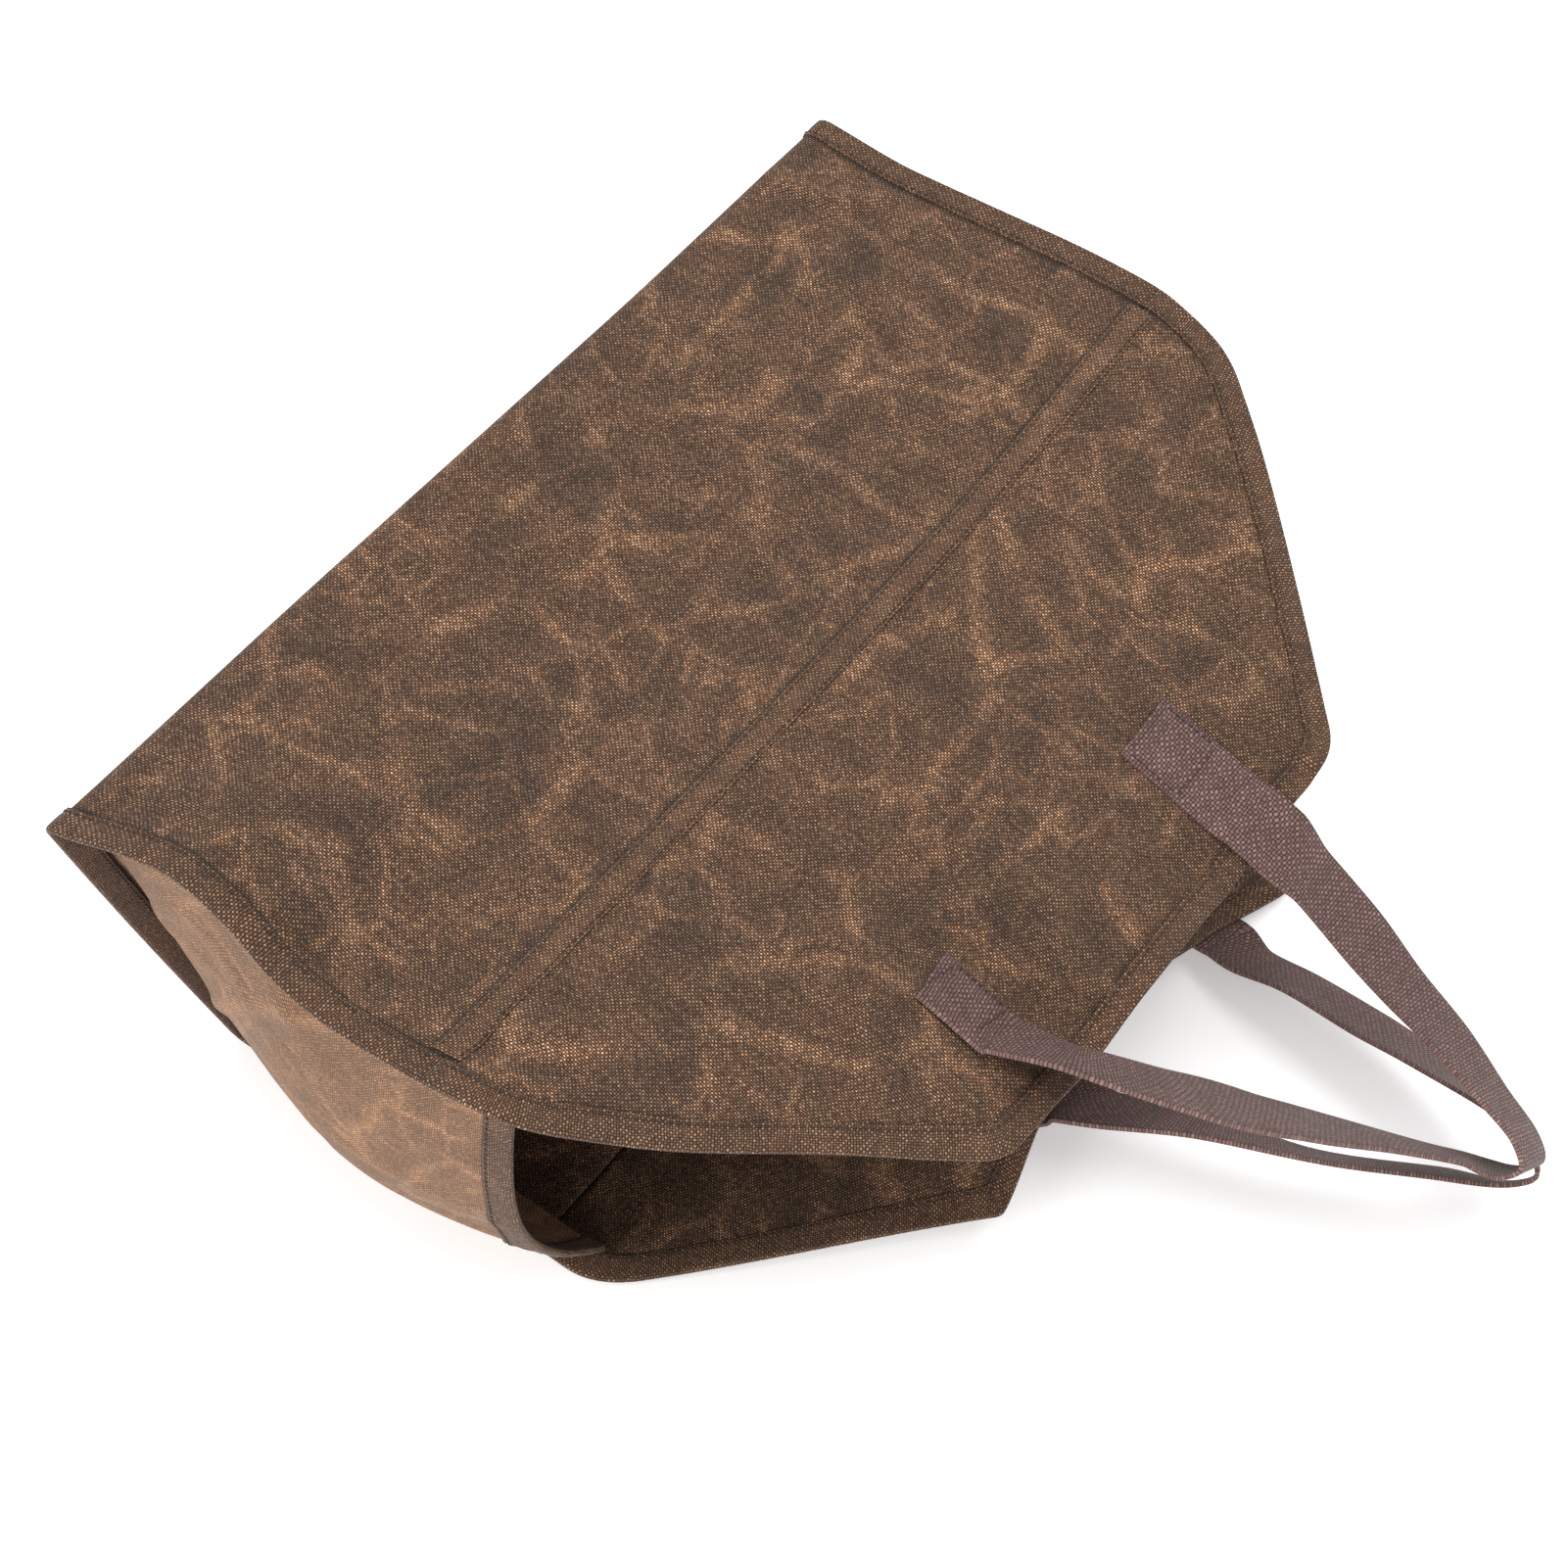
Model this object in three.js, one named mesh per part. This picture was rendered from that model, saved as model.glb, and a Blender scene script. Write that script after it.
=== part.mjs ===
import * as THREE from 'three';

// Waxed canvas log carrier, lying on its back panel with its mouth and handles towards +Y.
// Millimetres, +Z up. +X is the near end, and a panel's height runs from its fold to its mouth.

// Driving dimensions
const LENGTH = 550;
const DEPTH = 285;
const PANEL_HEIGHT = 420;
const SEAM_HEIGHT = 206;
const GUSSET_ABOVE_SEAM = 32;
const TAPER_ABOVE_GUSSET = 8;
const MOUTH_WIDTH = 267;
const CANVAS = 1.4;
const TAPE = 1.0;
const TAPE_WIDTH = 12.5;
const SEAM_STRIP_WIDTH = 14;
const WEBBING_WIDTH = 38;
const WEBBING = 2.2;
const HANDLE_SPACING = 172;
const HANDLE_TAIL = 80;
const HANDLE_REACH = 168;
const FOLD_RADIUS = 7;
const TAPER_CORNER = 20;
const MOUTH_CORNER = 25;
const TAPE_END_CORNER = 6;
const CLEARANCE = 0.3;
const TAPE_GAP = 0.65;
const SEAT = 0.5;
const SEAM_SEAT = 1.6;
const HANDLE_SEAT = 0.9;
const HANDLE_EDGE_SEAT = 1.9;
const STRAP_OVERHANG = 7;
const FRONT_HANDLE_SHIFT = 6;
const BACK_HANDLE_SHIFT = -3;

// Pose of the limp body on the floor: angles of the front panel and lean of the bottom
const FRONT_SLOPE = THREE.MathUtils.degToRad(-5.5);
const FRONT_TOP_SLOPE = THREE.MathUtils.degToRad(-28.4);
const SLOPE_BEND = 60;
const BOTTOM_LEAN = THREE.MathUtils.degToRad(3);
const BOTTOM_BULGE = 0.018 * DEPTH;
const SHIFT_AT_FOLD = 0.11 * LENGTH;
const SHIFT_AT_MOUTH = 0.084 * LENGTH;
const GUSSET_BOW = 0.105 * DEPTH;
const GUSSET_BELLY = 0.075 * DEPTH;
const FRONT_RISE = 0.96 * DEPTH;
const STRAP_ROLL = 0.045 * DEPTH;
const STRAP_ROLL_SPAN = 0.8 * HANDLE_SPACING;
const ROLL_BELOW_MOUTH = { start: 1.8 * HANDLE_TAIL, full: 0.88 * HANDLE_TAIL, fades: 0.56 * HANDLE_TAIL };
const ROLL_LOST_AT_MOUTH = 0.5;
const EDGE_ZONE = 0.35;
const BACK_CURL = 1.5;
const BELLY_TO_FLOOR = 0.7;
const BOW_TO_FLOOR = 0.88;

// Waves of the front panel: out as shares of LENGTH, lift as shares of DEPTH, at shares of its height
const FRONT_WAVES = [
  { at: 0.00, nearOut: 0.009, nearLift: -0.010, midLift: 0.000, farOut: 0.008, farLift: 0.014 },
  { at: 0.12, nearOut: -0.006, nearLift: 0.026, midLift: -0.020, farOut: 0.005, farLift: 0.011 },
  { at: 0.18, nearOut: -0.007, nearLift: 0.038, midLift: -0.032, farOut: 0.006, farLift: 0.014 },
  { at: 0.24, nearOut: -0.003, nearLift: 0.020, midLift: -0.044, farOut: 0.008, farLift: 0.018 },
  { at: 0.30, nearOut: 0.003, nearLift: -0.020, midLift: -0.052, farOut: 0.010, farLift: 0.022 },
  { at: 0.36, nearOut: 0.006, nearLift: -0.032, midLift: -0.056, farOut: 0.012, farLift: 0.026 },
  { at: 0.42, nearOut: 0.006, nearLift: -0.028, midLift: -0.056, farOut: 0.013, farLift: 0.028 },
  { at: 0.49, nearOut: 0.004, nearLift: -0.018, midLift: -0.050, farOut: 0.012, farLift: 0.028 },
  { at: 0.57, nearOut: 0.000, nearLift: 0.000, midLift: -0.040, farOut: 0.007, farLift: 0.018 },
  { at: 0.72, nearOut: 0.004, nearLift: -0.014, midLift: -0.012, farOut: 0.013, farLift: 0.045 },
  { at: 0.86, nearOut: 0.000, nearLift: 0.003, midLift: 0.008, farOut: 0.014, farLift: 0.045 },
  { at: 1.00, nearOut: 0.000, nearLift: 0.010, midLift: 0.010, farOut: 0.012, farLift: 0.036 },
];

// Mouth edge of the back panel, from far corner to near corner: lift off the floor and pull
// towards the bottom fold as shares of DEPTH, shift towards the near end as a share of LENGTH
const BACK_MOUTH = [
  { at: -1.0, lift: 0.022, pull: 0.085, shift: 0.008 },
  { at: -0.66, lift: 0.050, pull: 0.145, shift: 0.024 },
  { at: 0.0, lift: 0.140, pull: 0.175, shift: 0.008 },
  { at: 0.66, lift: 0.150, pull: 0.150, shift: 0.006 },
  { at: 1.0, lift: 0.095, pull: 0.115, shift: 0.008 },
];

// Free run of a handle leg, from where its sewn tail ends to the loop's tip: share of the run, shift
// to the near side as a share of HANDLE_SPACING and rise as a share of DEPTH off the straight line,
// and how far the webbing has turned towards the direction it has at the tip
const FRONT_NEAR_LEG = {
  tailEnd: PANEL_HEIGHT - HANDLE_TAIL / 2,
  rows: [
    { at: 0.19, aside: 0.102, rise: 0.080, turn: 0.78 },
    { at: 0.39, aside: 0.125, rise: 0.091, turn: 0.78 },
    { at: 0.56, aside: 0.062, rise: 0.037, turn: 1.02 },
    { at: 0.72, aside: -0.022, rise: -0.026, turn: 1.25 },
    { at: 0.88, aside: -0.041, rise: -0.036, turn: 1.43 },
  ],
};
const FRONT_FAR_LEG = {
  tailEnd: PANEL_HEIGHT + STRAP_OVERHANG,
  rows: [
    { at: 0.12, aside: -0.027, rise: -0.019, turn: 0.46 },
    { at: 0.29, aside: -0.043, rise: -0.033, turn: 0.44 },
    { at: 0.48, aside: -0.045, rise: -0.038, turn: 0.60 },
    { at: 0.68, aside: -0.043, rise: -0.025, turn: 0.75 },
    { at: 0.86, aside: -0.022, rise: -0.013, turn: 0.93 },
  ],
};
const BACK_NEAR_LEG = {
  tailEnd: PANEL_HEIGHT - HANDLE_TAIL / 2,
  rows: [
    { at: 0.11, aside: -0.038, rise: -0.034, turn: 0.32 },
    { at: 0.22, aside: 0.000, rise: -0.010, turn: 0.52 },
    { at: 0.42, aside: 0.026, rise: 0.022, turn: 0.71 },
    { at: 0.65, aside: 0.037, rise: 0.003, turn: 0.90 },
    { at: 0.87, aside: 0.012, rise: 0.000, turn: 0.90 },
  ],
};
const BACK_FAR_LEG = {
  tailEnd: PANEL_HEIGHT + STRAP_OVERHANG,
  rows: [
    { at: 0.08, aside: 0.009, rise: -0.008, turn: 0.27 },
    { at: 0.25, aside: -0.014, rise: 0.006, turn: 0.42 },
    { at: 0.45, aside: -0.038, rise: 0.000, turn: 0.39 },
    { at: 0.65, aside: -0.050, rise: 0.000, turn: 0.56 },
    { at: 0.88, aside: -0.040, rise: 0.001, turn: 0.84 },
  ],
};

// Tip of a handle's loop: its place, and the direction across the webbing there
const TIP_RADIUS = 9;
const LOOP_TURNS = [0.05, 0.5, 0.95];
const FRONT_TIP = {
  shift: 0.002 * LENGTH,
  height: 0.328 * DEPTH,
  across: new THREE.Vector3(0.715, -0.07, 0.696).normalize(),
};
const BACK_TIP = {
  shift: -0.034 * LENGTH,
  height: 0.19 * DEPTH,
  across: new THREE.Vector3(0.545, 0.1, 0.832).normalize(),
};

// Half the distance over which a surface's slope is measured, and half a turn
const PROBE = 0.5;
const HALF_TURN = 0.5;

// Facets of the cloth: steps between stations, and shares at which corners and folds are divided
const LENGTH_STEPS = 14;
const SIDE_STEPS = 22;
const LOWER_STEPS = 6;
const BOTTOM_STEPS = 8;
const UPPER_STEPS = 7;
const CORNER_STEPS = 4;
const CORNER_SHARES = [0.35, 0.65, 0.86, 0.97];
const FOLD_SHARES = [-0.5, 0, 0.5];
const TAIL_SHARES = [1, 0.75, 0.5];
const TAIL_TAPE_SHARES = [2, 1.3, 0.5];
const OVER_TAPE_SHARE = 1.5;
const WEBBING_SHARES = [-0.5, -0.25, 0, 0.25, 0.5];

// Sizes worked out from the driving dimensions
const GUSSET_HEIGHT = SEAM_HEIGHT + GUSSET_ABOVE_SEAM;
const TAPER_HEIGHT = GUSSET_HEIGHT + TAPER_ABOVE_GUSSET;
const HALF_LENGTH = LENGTH / 2;
const HALF_MOUTH = MOUTH_WIDTH / 2;
const SEAT_OFF = CANVAS / 2 + SEAT;
const TAPER = (HALF_LENGTH - HALF_MOUTH) / (PANEL_HEIGHT - TAPER_HEIGHT);
const TAPER_ANGLE = Math.atan(TAPER);
const CHAIN = SEAM_HEIGHT + DEPTH + SEAM_HEIGHT;
const SEAM_IN = TAPE_WIDTH + CANVAS / 2 + SEAM_SEAT;
const TAPE_FACE = CANVAS / 2 + TAPE_GAP + TAPE;
const EDGE_RISE = TAPE_FACE - CANVAS / 2;
const BOTTOM_TOP = new THREE.Vector3(SHIFT_AT_FOLD, DEPTH * Math.sin(BOTTOM_LEAN), FRONT_RISE);

const MATERIALS = {
  canvas: new THREE.MeshStandardMaterial({ color: 0x5b4431, roughness: 0.85, metalness: 0 }),
  gusset: new THREE.MeshStandardMaterial({ color: 0x6a5038, roughness: 0.85, metalness: 0 }),
  tape: new THREE.MeshStandardMaterial({ color: 0x4e3b2e, roughness: 0.8, metalness: 0 }),
  webbing: new THREE.MeshStandardMaterial({ color: 0x5f4a48, roughness: 0.75, metalness: 0 }),
};

const carrier = new THREE.Group();

function addPiece(name, geometry, material) {
  const mesh = new THREE.Mesh(facesOut(geometry), material);
  mesh.name = name;
  carrier.add(mesh);
}

// Tables are read with a smooth curve between their rows
function readTable(table, column, at) {
  const last = table.length - 1;
  if (at <= table[0].at) return table[0][column];
  if (at >= table[last].at) return table[last][column];
  let row = 0;
  while (table[row + 1].at < at) row += 1;
  const before = table[Math.max(row - 1, 0)][column];
  const start = table[row][column];
  const end = table[row + 1][column];
  const after = table[Math.min(row + 2, last)][column];
  const share = (at - table[row].at) / (table[row + 1].at - table[row].at);
  const square = share * share;
  const cube = square * share;
  return 0.5 * (2 * start + (end - before) * share
    + (2 * before - 5 * start + 4 * end - after) * square
    + (3 * start - before - 3 * end + after) * cube);
}

// Half width of a panel at a height: straight sides, a softened taper corner, then the taper
function taperHalfWidth(height) {
  const past = Math.min(height, PANEL_HEIGHT) - TAPER_HEIGHT;
  if (past <= -TAPER_CORNER) return HALF_LENGTH;
  if (past >= TAPER_CORNER) return HALF_LENGTH - TAPER * past;
  return HALF_LENGTH - TAPER * (past + TAPER_CORNER) ** 2 / (4 * TAPER_CORNER);
}

// A mouth corner turns from the taper to the mouth edge on an arc
function cornerTurn(radius) {
  const turn = Math.PI / 2 - TAPER_ANGLE;
  const run = radius * Math.tan(turn / 2);
  return { radius, centre: HALF_MOUTH - run, startHeight: PANEL_HEIGHT - run * Math.cos(TAPER_ANGLE) };
}

function panelHalfWidth(height, corner) {
  if (height <= corner.startHeight) return taperHalfWidth(height);
  const up = height - (PANEL_HEIGHT - corner.radius);
  return corner.centre + Math.sqrt(Math.max(corner.radius ** 2 - up ** 2, 0));
}

// Side view of the front panel: two straight slopes joined by an even bend at the gusset's top
function frontProfile(height) {
  const bendStart = GUSSET_HEIGHT - SLOPE_BEND / 2;
  const straight = Math.min(height, bendStart);
  const radius = SLOPE_BEND / (FRONT_TOP_SLOPE - FRONT_SLOPE);
  const bend = THREE.MathUtils.clamp(height - bendStart, 0, SLOPE_BEND);
  const angle = FRONT_SLOPE + bend / radius;
  const past = Math.max(height - bendStart - SLOPE_BEND, 0);
  const y = straight * Math.cos(FRONT_SLOPE) + radius * (Math.sin(angle) - Math.sin(FRONT_SLOPE))
    + past * Math.cos(FRONT_TOP_SLOPE);
  const z = straight * Math.sin(FRONT_SLOPE) - radius * (Math.cos(angle) - Math.cos(FRONT_SLOPE))
    + past * Math.sin(FRONT_TOP_SLOPE);
  return { y, z };
}

// The near strap pulls the front panel into a wave across it, strongest below the mouth
function strapRolled(height) {
  const below = PANEL_HEIGHT - height;
  const grown = 1 - THREE.MathUtils.smoothstep(below, ROLL_BELOW_MOUTH.full, ROLL_BELOW_MOUTH.start);
  const lost = 1 - THREE.MathUtils.smoothstep(below, 0, ROLL_BELOW_MOUTH.fades);
  return grown * (1 - ROLL_LOST_AT_MOUTH * lost);
}

function strapWave(across) {
  const fromStrap = across - HANDLE_SPACING / 2 - FRONT_HANDLE_SHIFT;
  const turns = THREE.MathUtils.clamp(fromStrap / STRAP_ROLL_SPAN, -HALF_TURN, HALF_TURN);
  return Math.sin(2 * Math.PI * turns) * Math.cos(Math.PI * turns);
}

// Middle of the front panel's canvas, across its length and up its height
function frontPoint(across, height) {
  const side = across / taperHalfWidth(height);
  const at = height / PANEL_HEIGHT;
  const near = THREE.MathUtils.smoothstep(side, EDGE_ZONE, 1);
  const far = THREE.MathUtils.smoothstep(-side, EDGE_ZONE, 1);
  const middle = Math.max(1 - side * side, 0);
  const roll = STRAP_ROLL * strapRolled(height) * strapWave(across);
  const out = near * readTable(FRONT_WAVES, 'nearOut', at) - far * readTable(FRONT_WAVES, 'farOut', at);
  const lift = near * readTable(FRONT_WAVES, 'nearLift', at) + far * readTable(FRONT_WAVES, 'farLift', at)
    + middle * readTable(FRONT_WAVES, 'midLift', at);
  const shift = THREE.MathUtils.lerp(SHIFT_AT_FOLD, SHIFT_AT_MOUTH, at);
  const profile = frontProfile(height);
  return new THREE.Vector3(
    across + shift + out * LENGTH,
    BOTTOM_TOP.y + profile.y,
    BOTTOM_TOP.z + profile.z + lift * DEPTH + roll,
  );
}

// Middle of the back panel's canvas. It lies flat on the floor, rises a tape's thickness beside
// the bindings and over the seam strip, and lifts towards the mouth.
function backPoint(across, height) {
  const side = across / taperHalfWidth(height);
  const inFromEdge = taperHalfWidth(height) - Math.abs(across);
  const edge = 1 - THREE.MathUtils.smoothstep(inFromEdge, SEAM_IN + SEAT, 3 * SEAM_IN);
  const fromSeam = Math.abs(height - SEAM_HEIGHT);
  const strip = 1 - THREE.MathUtils.smoothstep(fromSeam, SEAM_STRIP_WIDTH, 2 * SEAM_STRIP_WIDTH);
  const ramp = THREE.MathUtils.smoothstep(height, SEAM_HEIGHT, PANEL_HEIGHT);
  const slant = THREE.MathUtils.clamp((height - SEAM_HEIGHT) / (PANEL_HEIGHT - SEAM_HEIGHT), 0, 1);
  const rise = EDGE_RISE * Math.max(edge, strip);
  return new THREE.Vector3(
    across + slant * readTable(BACK_MOUTH, 'shift', side) * LENGTH,
    height - slant ** BACK_CURL * readTable(BACK_MOUTH, 'pull', side) * DEPTH,
    CANVAS / 2 + rise + ramp * readTable(BACK_MOUTH, 'lift', side) * DEPTH,
  );
}

// Middle of the bottom's canvas, from the back fold (0) to the front fold (1)
function bottomPoint(across, share) {
  const start = backPoint(across, 0);
  const end = frontPoint(across, 0);
  const point = start.clone().lerp(end, share);
  point.y -= BOTTOM_BULGE * Math.sin(Math.PI * share);
  return point;
}

function roundFold(before, corner, after, share) {
  return new THREE.QuadraticBezierCurve3(before, corner, after).getPoint(share);
}

// The body is one strip of canvas: down the front, across the bottom and up the back
function bodyPoint(across, along) {
  const frontFold = SEAM_HEIGHT;
  const backFold = SEAM_HEIGHT + DEPTH;
  const foldShare = FOLD_RADIUS / DEPTH;
  if (along < frontFold - FOLD_RADIUS) return frontPoint(across, frontFold - along);
  if (along > backFold + FOLD_RADIUS) return backPoint(across, along - backFold);
  if (along < frontFold + FOLD_RADIUS) {
    return roundFold(frontPoint(across, FOLD_RADIUS), frontPoint(across, 0),
      bottomPoint(across, 1 - foldShare), (along - frontFold + FOLD_RADIUS) / (2 * FOLD_RADIUS));
  }
  if (along > backFold - FOLD_RADIUS) {
    return roundFold(bottomPoint(across, foldShare), backPoint(across, 0),
      backPoint(across, FOLD_RADIUS), (along - backFold + FOLD_RADIUS) / (2 * FOLD_RADIUS));
  }
  return bottomPoint(across, (backFold - along) / DEPTH);
}

// A point off a cloth surface, along its normal
function offSurface(surface, a, b, offset) {
  const alongA = surface(a + PROBE, b).sub(surface(a - PROBE, b));
  const alongB = surface(a, b + PROBE).sub(surface(a, b - PROBE));
  const normal = alongA.cross(alongB).normalize();
  return surface(a, b).addScaledVector(normal, offset);
}

// Every cloth piece is a box of one layer, bent so that each of its corners lies where place puts it
function bentSheet(columns, rows, place) {
  const geometry = new THREE.BoxGeometry(1, 1, 1, columns.length - 1, rows.length - 1, 1);
  const position = geometry.attributes.position;
  for (let i = 0; i < position.count; i += 1) {
    const column = Math.round((position.getX(i) + 0.5) * (columns.length - 1));
    const row = Math.round((position.getY(i) + 0.5) * (rows.length - 1));
    const face = position.getZ(i) > 0 ? 1 : -1;
    const point = place(columns[column], rows[row], face);
    position.setXYZ(i, point.x, point.y, point.z);
  }
  return geometry;
}

function facesOut(geometry) {
  const position = geometry.attributes.position;
  const index = geometry.index;
  const corner = [new THREE.Vector3(), new THREE.Vector3(), new THREE.Vector3()];
  let volume = 0;
  for (let i = 0; i < index.count; i += 3) {
    corner.forEach((point, k) => point.fromBufferAttribute(position, index.getX(i + k)));
    volume += corner[0].dot(corner[1].cross(corner[2]));
  }
  if (volume < 0) {
    for (let i = 0; i < index.count; i += 3) {
      const first = index.getX(i);
      index.setX(i, index.getX(i + 1));
      index.setX(i + 1, first);
    }
  }
  geometry.computeVertexNormals();
  return geometry;
}

function steps(start, end, count) {
  return Array.from({ length: count + 1 }, (_, i) => THREE.MathUtils.lerp(start, end, i / count));
}

// Stations shared by every piece that meets the canvas, so that their facets run side by side
const inner = HALF_LENGTH - SEAM_IN;
const lengthStations = [-HALF_LENGTH, ...steps(-inner, inner, LENGTH_STEPS), HALF_LENGTH];
const sideStations = [-1, ...steps(-inner / HALF_LENGTH, inner / HALF_LENGTH, SIDE_STEPS), 1];
const lowerHeights = [
  ...steps(FOLD_RADIUS, SEAM_HEIGHT - 2 * SEAM_STRIP_WIDTH, LOWER_STEPS),
  SEAM_HEIGHT - SEAM_STRIP_WIDTH,
  SEAM_HEIGHT,
];
const foldOffsets = FOLD_SHARES.map((share) => share * FOLD_RADIUS);
const bottomShares = steps(FOLD_RADIUS / DEPTH, 1 - FOLD_RADIUS / DEPTH, BOTTOM_STEPS);
const chainStations = [
  ...lowerHeights.map((height) => SEAM_HEIGHT - height).reverse(),
  ...foldOffsets.map((offset) => SEAM_HEIGHT + offset),
  ...bottomShares.map((share) => SEAM_HEIGHT + share * DEPTH),
  ...foldOffsets.map((offset) => SEAM_HEIGHT + DEPTH + offset),
  ...lowerHeights.map((height) => SEAM_HEIGHT + DEPTH + height),
];
const seamGap = CLEARANCE / 2;
chainStations[0] = seamGap;
chainStations[chainStations.length - 1] = CHAIN - seamGap;

addPiece('body_canvas', bentSheet(lengthStations, chainStations,
  (across, along, face) => offSurface(bodyPoint, across, along, face * CANVAS / 2)), MATERIALS.canvas);

// Top panels
const FRONT = {
  surface: frontPoint,
  outward: 1,
  nearCorner: cornerTurn(MOUTH_CORNER),
  farCorner: cornerTurn(MOUTH_CORNER),
  handleShift: FRONT_HANDLE_SHIFT,
};
const BACK = {
  surface: backPoint,
  outward: -1,
  nearCorner: cornerTurn(TAPE_END_CORNER),
  farCorner: cornerTurn(MOUTH_CORNER),
  handleShift: BACK_HANDLE_SHIFT,
};
const cornerHeights = CORNER_SHARES.map((share) => PANEL_HEIGHT - TAPE_WIDTH * (1 - share));
const upperHeights = [
  SEAM_HEIGHT + seamGap,
  SEAM_HEIGHT + SEAM_STRIP_WIDTH,
  ...steps(GUSSET_HEIGHT, PANEL_HEIGHT - SEAM_IN, UPPER_STEPS),
  ...cornerHeights,
  PANEL_HEIGHT,
];

function topPanel(panel) {
  return bentSheet(sideStations, upperHeights, (side, height, face) => {
    const corner = side > 0 ? panel.nearCorner : panel.farCorner;
    return offSurface(panel.surface, side * panelHalfWidth(height, corner), height, face * CANVAS / 2);
  });
}

addPiece('front_top_panel', topPanel(FRONT), MATERIALS.canvas);
addPiece('back_top_panel', topPanel(BACK), MATERIALS.canvas);

// A strip of canvas is sewn over each seam between the body and a top panel
function seamStrip(panel) {
  const reach = HALF_LENGTH - SEAM_IN - SEAT;
  const stations = [-reach, ...lengthStations.slice(2, -2), reach];
  const heights = [-1, 0, 1].map((end) => SEAM_HEIGHT + end * SEAM_STRIP_WIDTH / 2);
  return bentSheet(stations, heights, (across, height, face) => offSurface(panel.surface, across, height,
    panel.outward * (CANVAS / 2 + TAPE_GAP + TAPE / 2 + face * TAPE / 2)));
}

addPiece('front_seam_strip', seamStrip(FRONT), MATERIALS.canvas);
addPiece('back_seam_strip', seamStrip(BACK), MATERIALS.canvas);

// Tape folded over a raw edge: its section runs from leg to leg round the edge
const TAPE_SECTION = [
  { inward: TAPE_WIDTH, off: 1, mitre: 0 },
  { inward: -TAPE_GAP - TAPE / 2, off: 1, mitre: 1 },
  { inward: -TAPE_GAP - TAPE / 2, off: -1, mitre: 1 },
  { inward: TAPE_WIDTH, off: -1, mitre: 0 },
];

function foldedTape(stations, surface, flatPoint) {
  const centreOff = CANVAS / 2 + TAPE_GAP + TAPE / 2;
  return bentSheet(stations, TAPE_SECTION, (station, corner, face) => {
    const inward = corner.inward - corner.mitre * face * TAPE / 2;
    const flat = flatPoint(station, inward);
    return offSurface(surface, flat.a, flat.b, corner.off * (centreOff + face * TAPE / 2));
  });
}

function sideBinding(end) {
  return foldedTape(chainStations, bodyPoint,
    (along, inward) => ({ a: end * (HALF_LENGTH - inward), b: along }));
}

addPiece('near_side_binding', sideBinding(1), MATERIALS.tape);
addPiece('far_side_binding', sideBinding(-1), MATERIALS.tape);

// Edge of a top panel in the flat, from the near seam round the mouth to the far seam
function topEdge(panel) {
  const edge = [];
  const climb = (end, corner, heights) => heights.forEach((height) => {
    const slope = (taperHalfWidth(height - PROBE) - taperHalfWidth(height + PROBE)) / (2 * PROBE);
    const out = new THREE.Vector2(end, slope).normalize();
    edge.push({ point: new THREE.Vector2(end * panelHalfWidth(height, corner), height), out });
  });
  const turn = (end, corner, angles) => angles.forEach((angle) => {
    const out = new THREE.Vector2(end * Math.cos(angle), Math.sin(angle));
    const centre = new THREE.Vector2(end * corner.centre, PANEL_HEIGHT - corner.radius);
    edge.push({ point: centre.addScaledVector(out, corner.radius), out });
  });
  const straights = upperHeights.filter((height) => height < PANEL_HEIGHT - SEAM_IN - SEAT);
  const arc = steps(TAPER_ANGLE, Math.PI / 2, CORNER_STEPS);
  climb(1, panel.nearCorner, straights);
  turn(1, panel.nearCorner, arc);
  sideStations.slice(1, -1).toReversed().forEach((side) => {
    const corner = side > 0 ? panel.nearCorner : panel.farCorner;
    const point = new THREE.Vector2(side * corner.centre, PANEL_HEIGHT);
    edge.push({ point, out: new THREE.Vector2(0, 1) });
  });
  turn(-1, panel.farCorner, arc.toReversed());
  climb(-1, panel.farCorner, straights.toReversed());
  return edge;
}

function topBinding(panel) {
  return foldedTape(topEdge(panel), panel.surface, (station, inward) => {
    const flat = station.point.clone().addScaledVector(station.out, -inward);
    return { a: flat.x, b: flat.y };
  });
}

addPiece('front_top_binding', topBinding(FRONT), MATERIALS.tape);
addPiece('back_top_binding', topBinding(BACK), MATERIALS.tape);

// A gusset closes each end between the folds, set in from the edge by its seam, and bows outwards
function gussetPoint(end, share, height) {
  const across = end * (taperHalfWidth(height) - SEAM_IN);
  const onBody = (along) => offSurface(bodyPoint, across, along, SEAT_OFF);
  const backSide = (level) => (level < SEAM_HEIGHT
    ? onBody(SEAM_HEIGHT + DEPTH + level) : offSurface(backPoint, across, level, SEAT_OFF));
  const frontSide = (level) => (level < SEAM_HEIGHT
    ? onBody(SEAM_HEIGHT - level) : offSurface(frontPoint, across, level, -SEAT_OFF));
  const straight = backSide(height).lerp(frontSide(height), share);
  const foldLine = backSide(0).lerp(frontSide(0), share);
  const seated = onBody(SEAM_HEIGHT + DEPTH * (1 - share));
  straight.addScaledVector(seated.sub(foldLine), Math.max(1 - height / GUSSET_HEIGHT, 0));
  const up = Math.max(height - FOLD_RADIUS, 0) / (GUSSET_HEIGHT - FOLD_RADIUS);
  const clear = (share * DEPTH - FOLD_RADIUS) / (DEPTH - 2 * FOLD_RADIUS);
  const over = THREE.MathUtils.clamp(clear, 0, 1);
  straight.x += end * GUSSET_BOW * Math.sin(Math.PI * over ** BOW_TO_FLOOR) * Math.sqrt(up);
  straight.x += end * GUSSET_BELLY * Math.sin(Math.PI * over ** BELLY_TO_FLOOR) * Math.sin(Math.PI * up);
  return straight;
}

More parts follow.
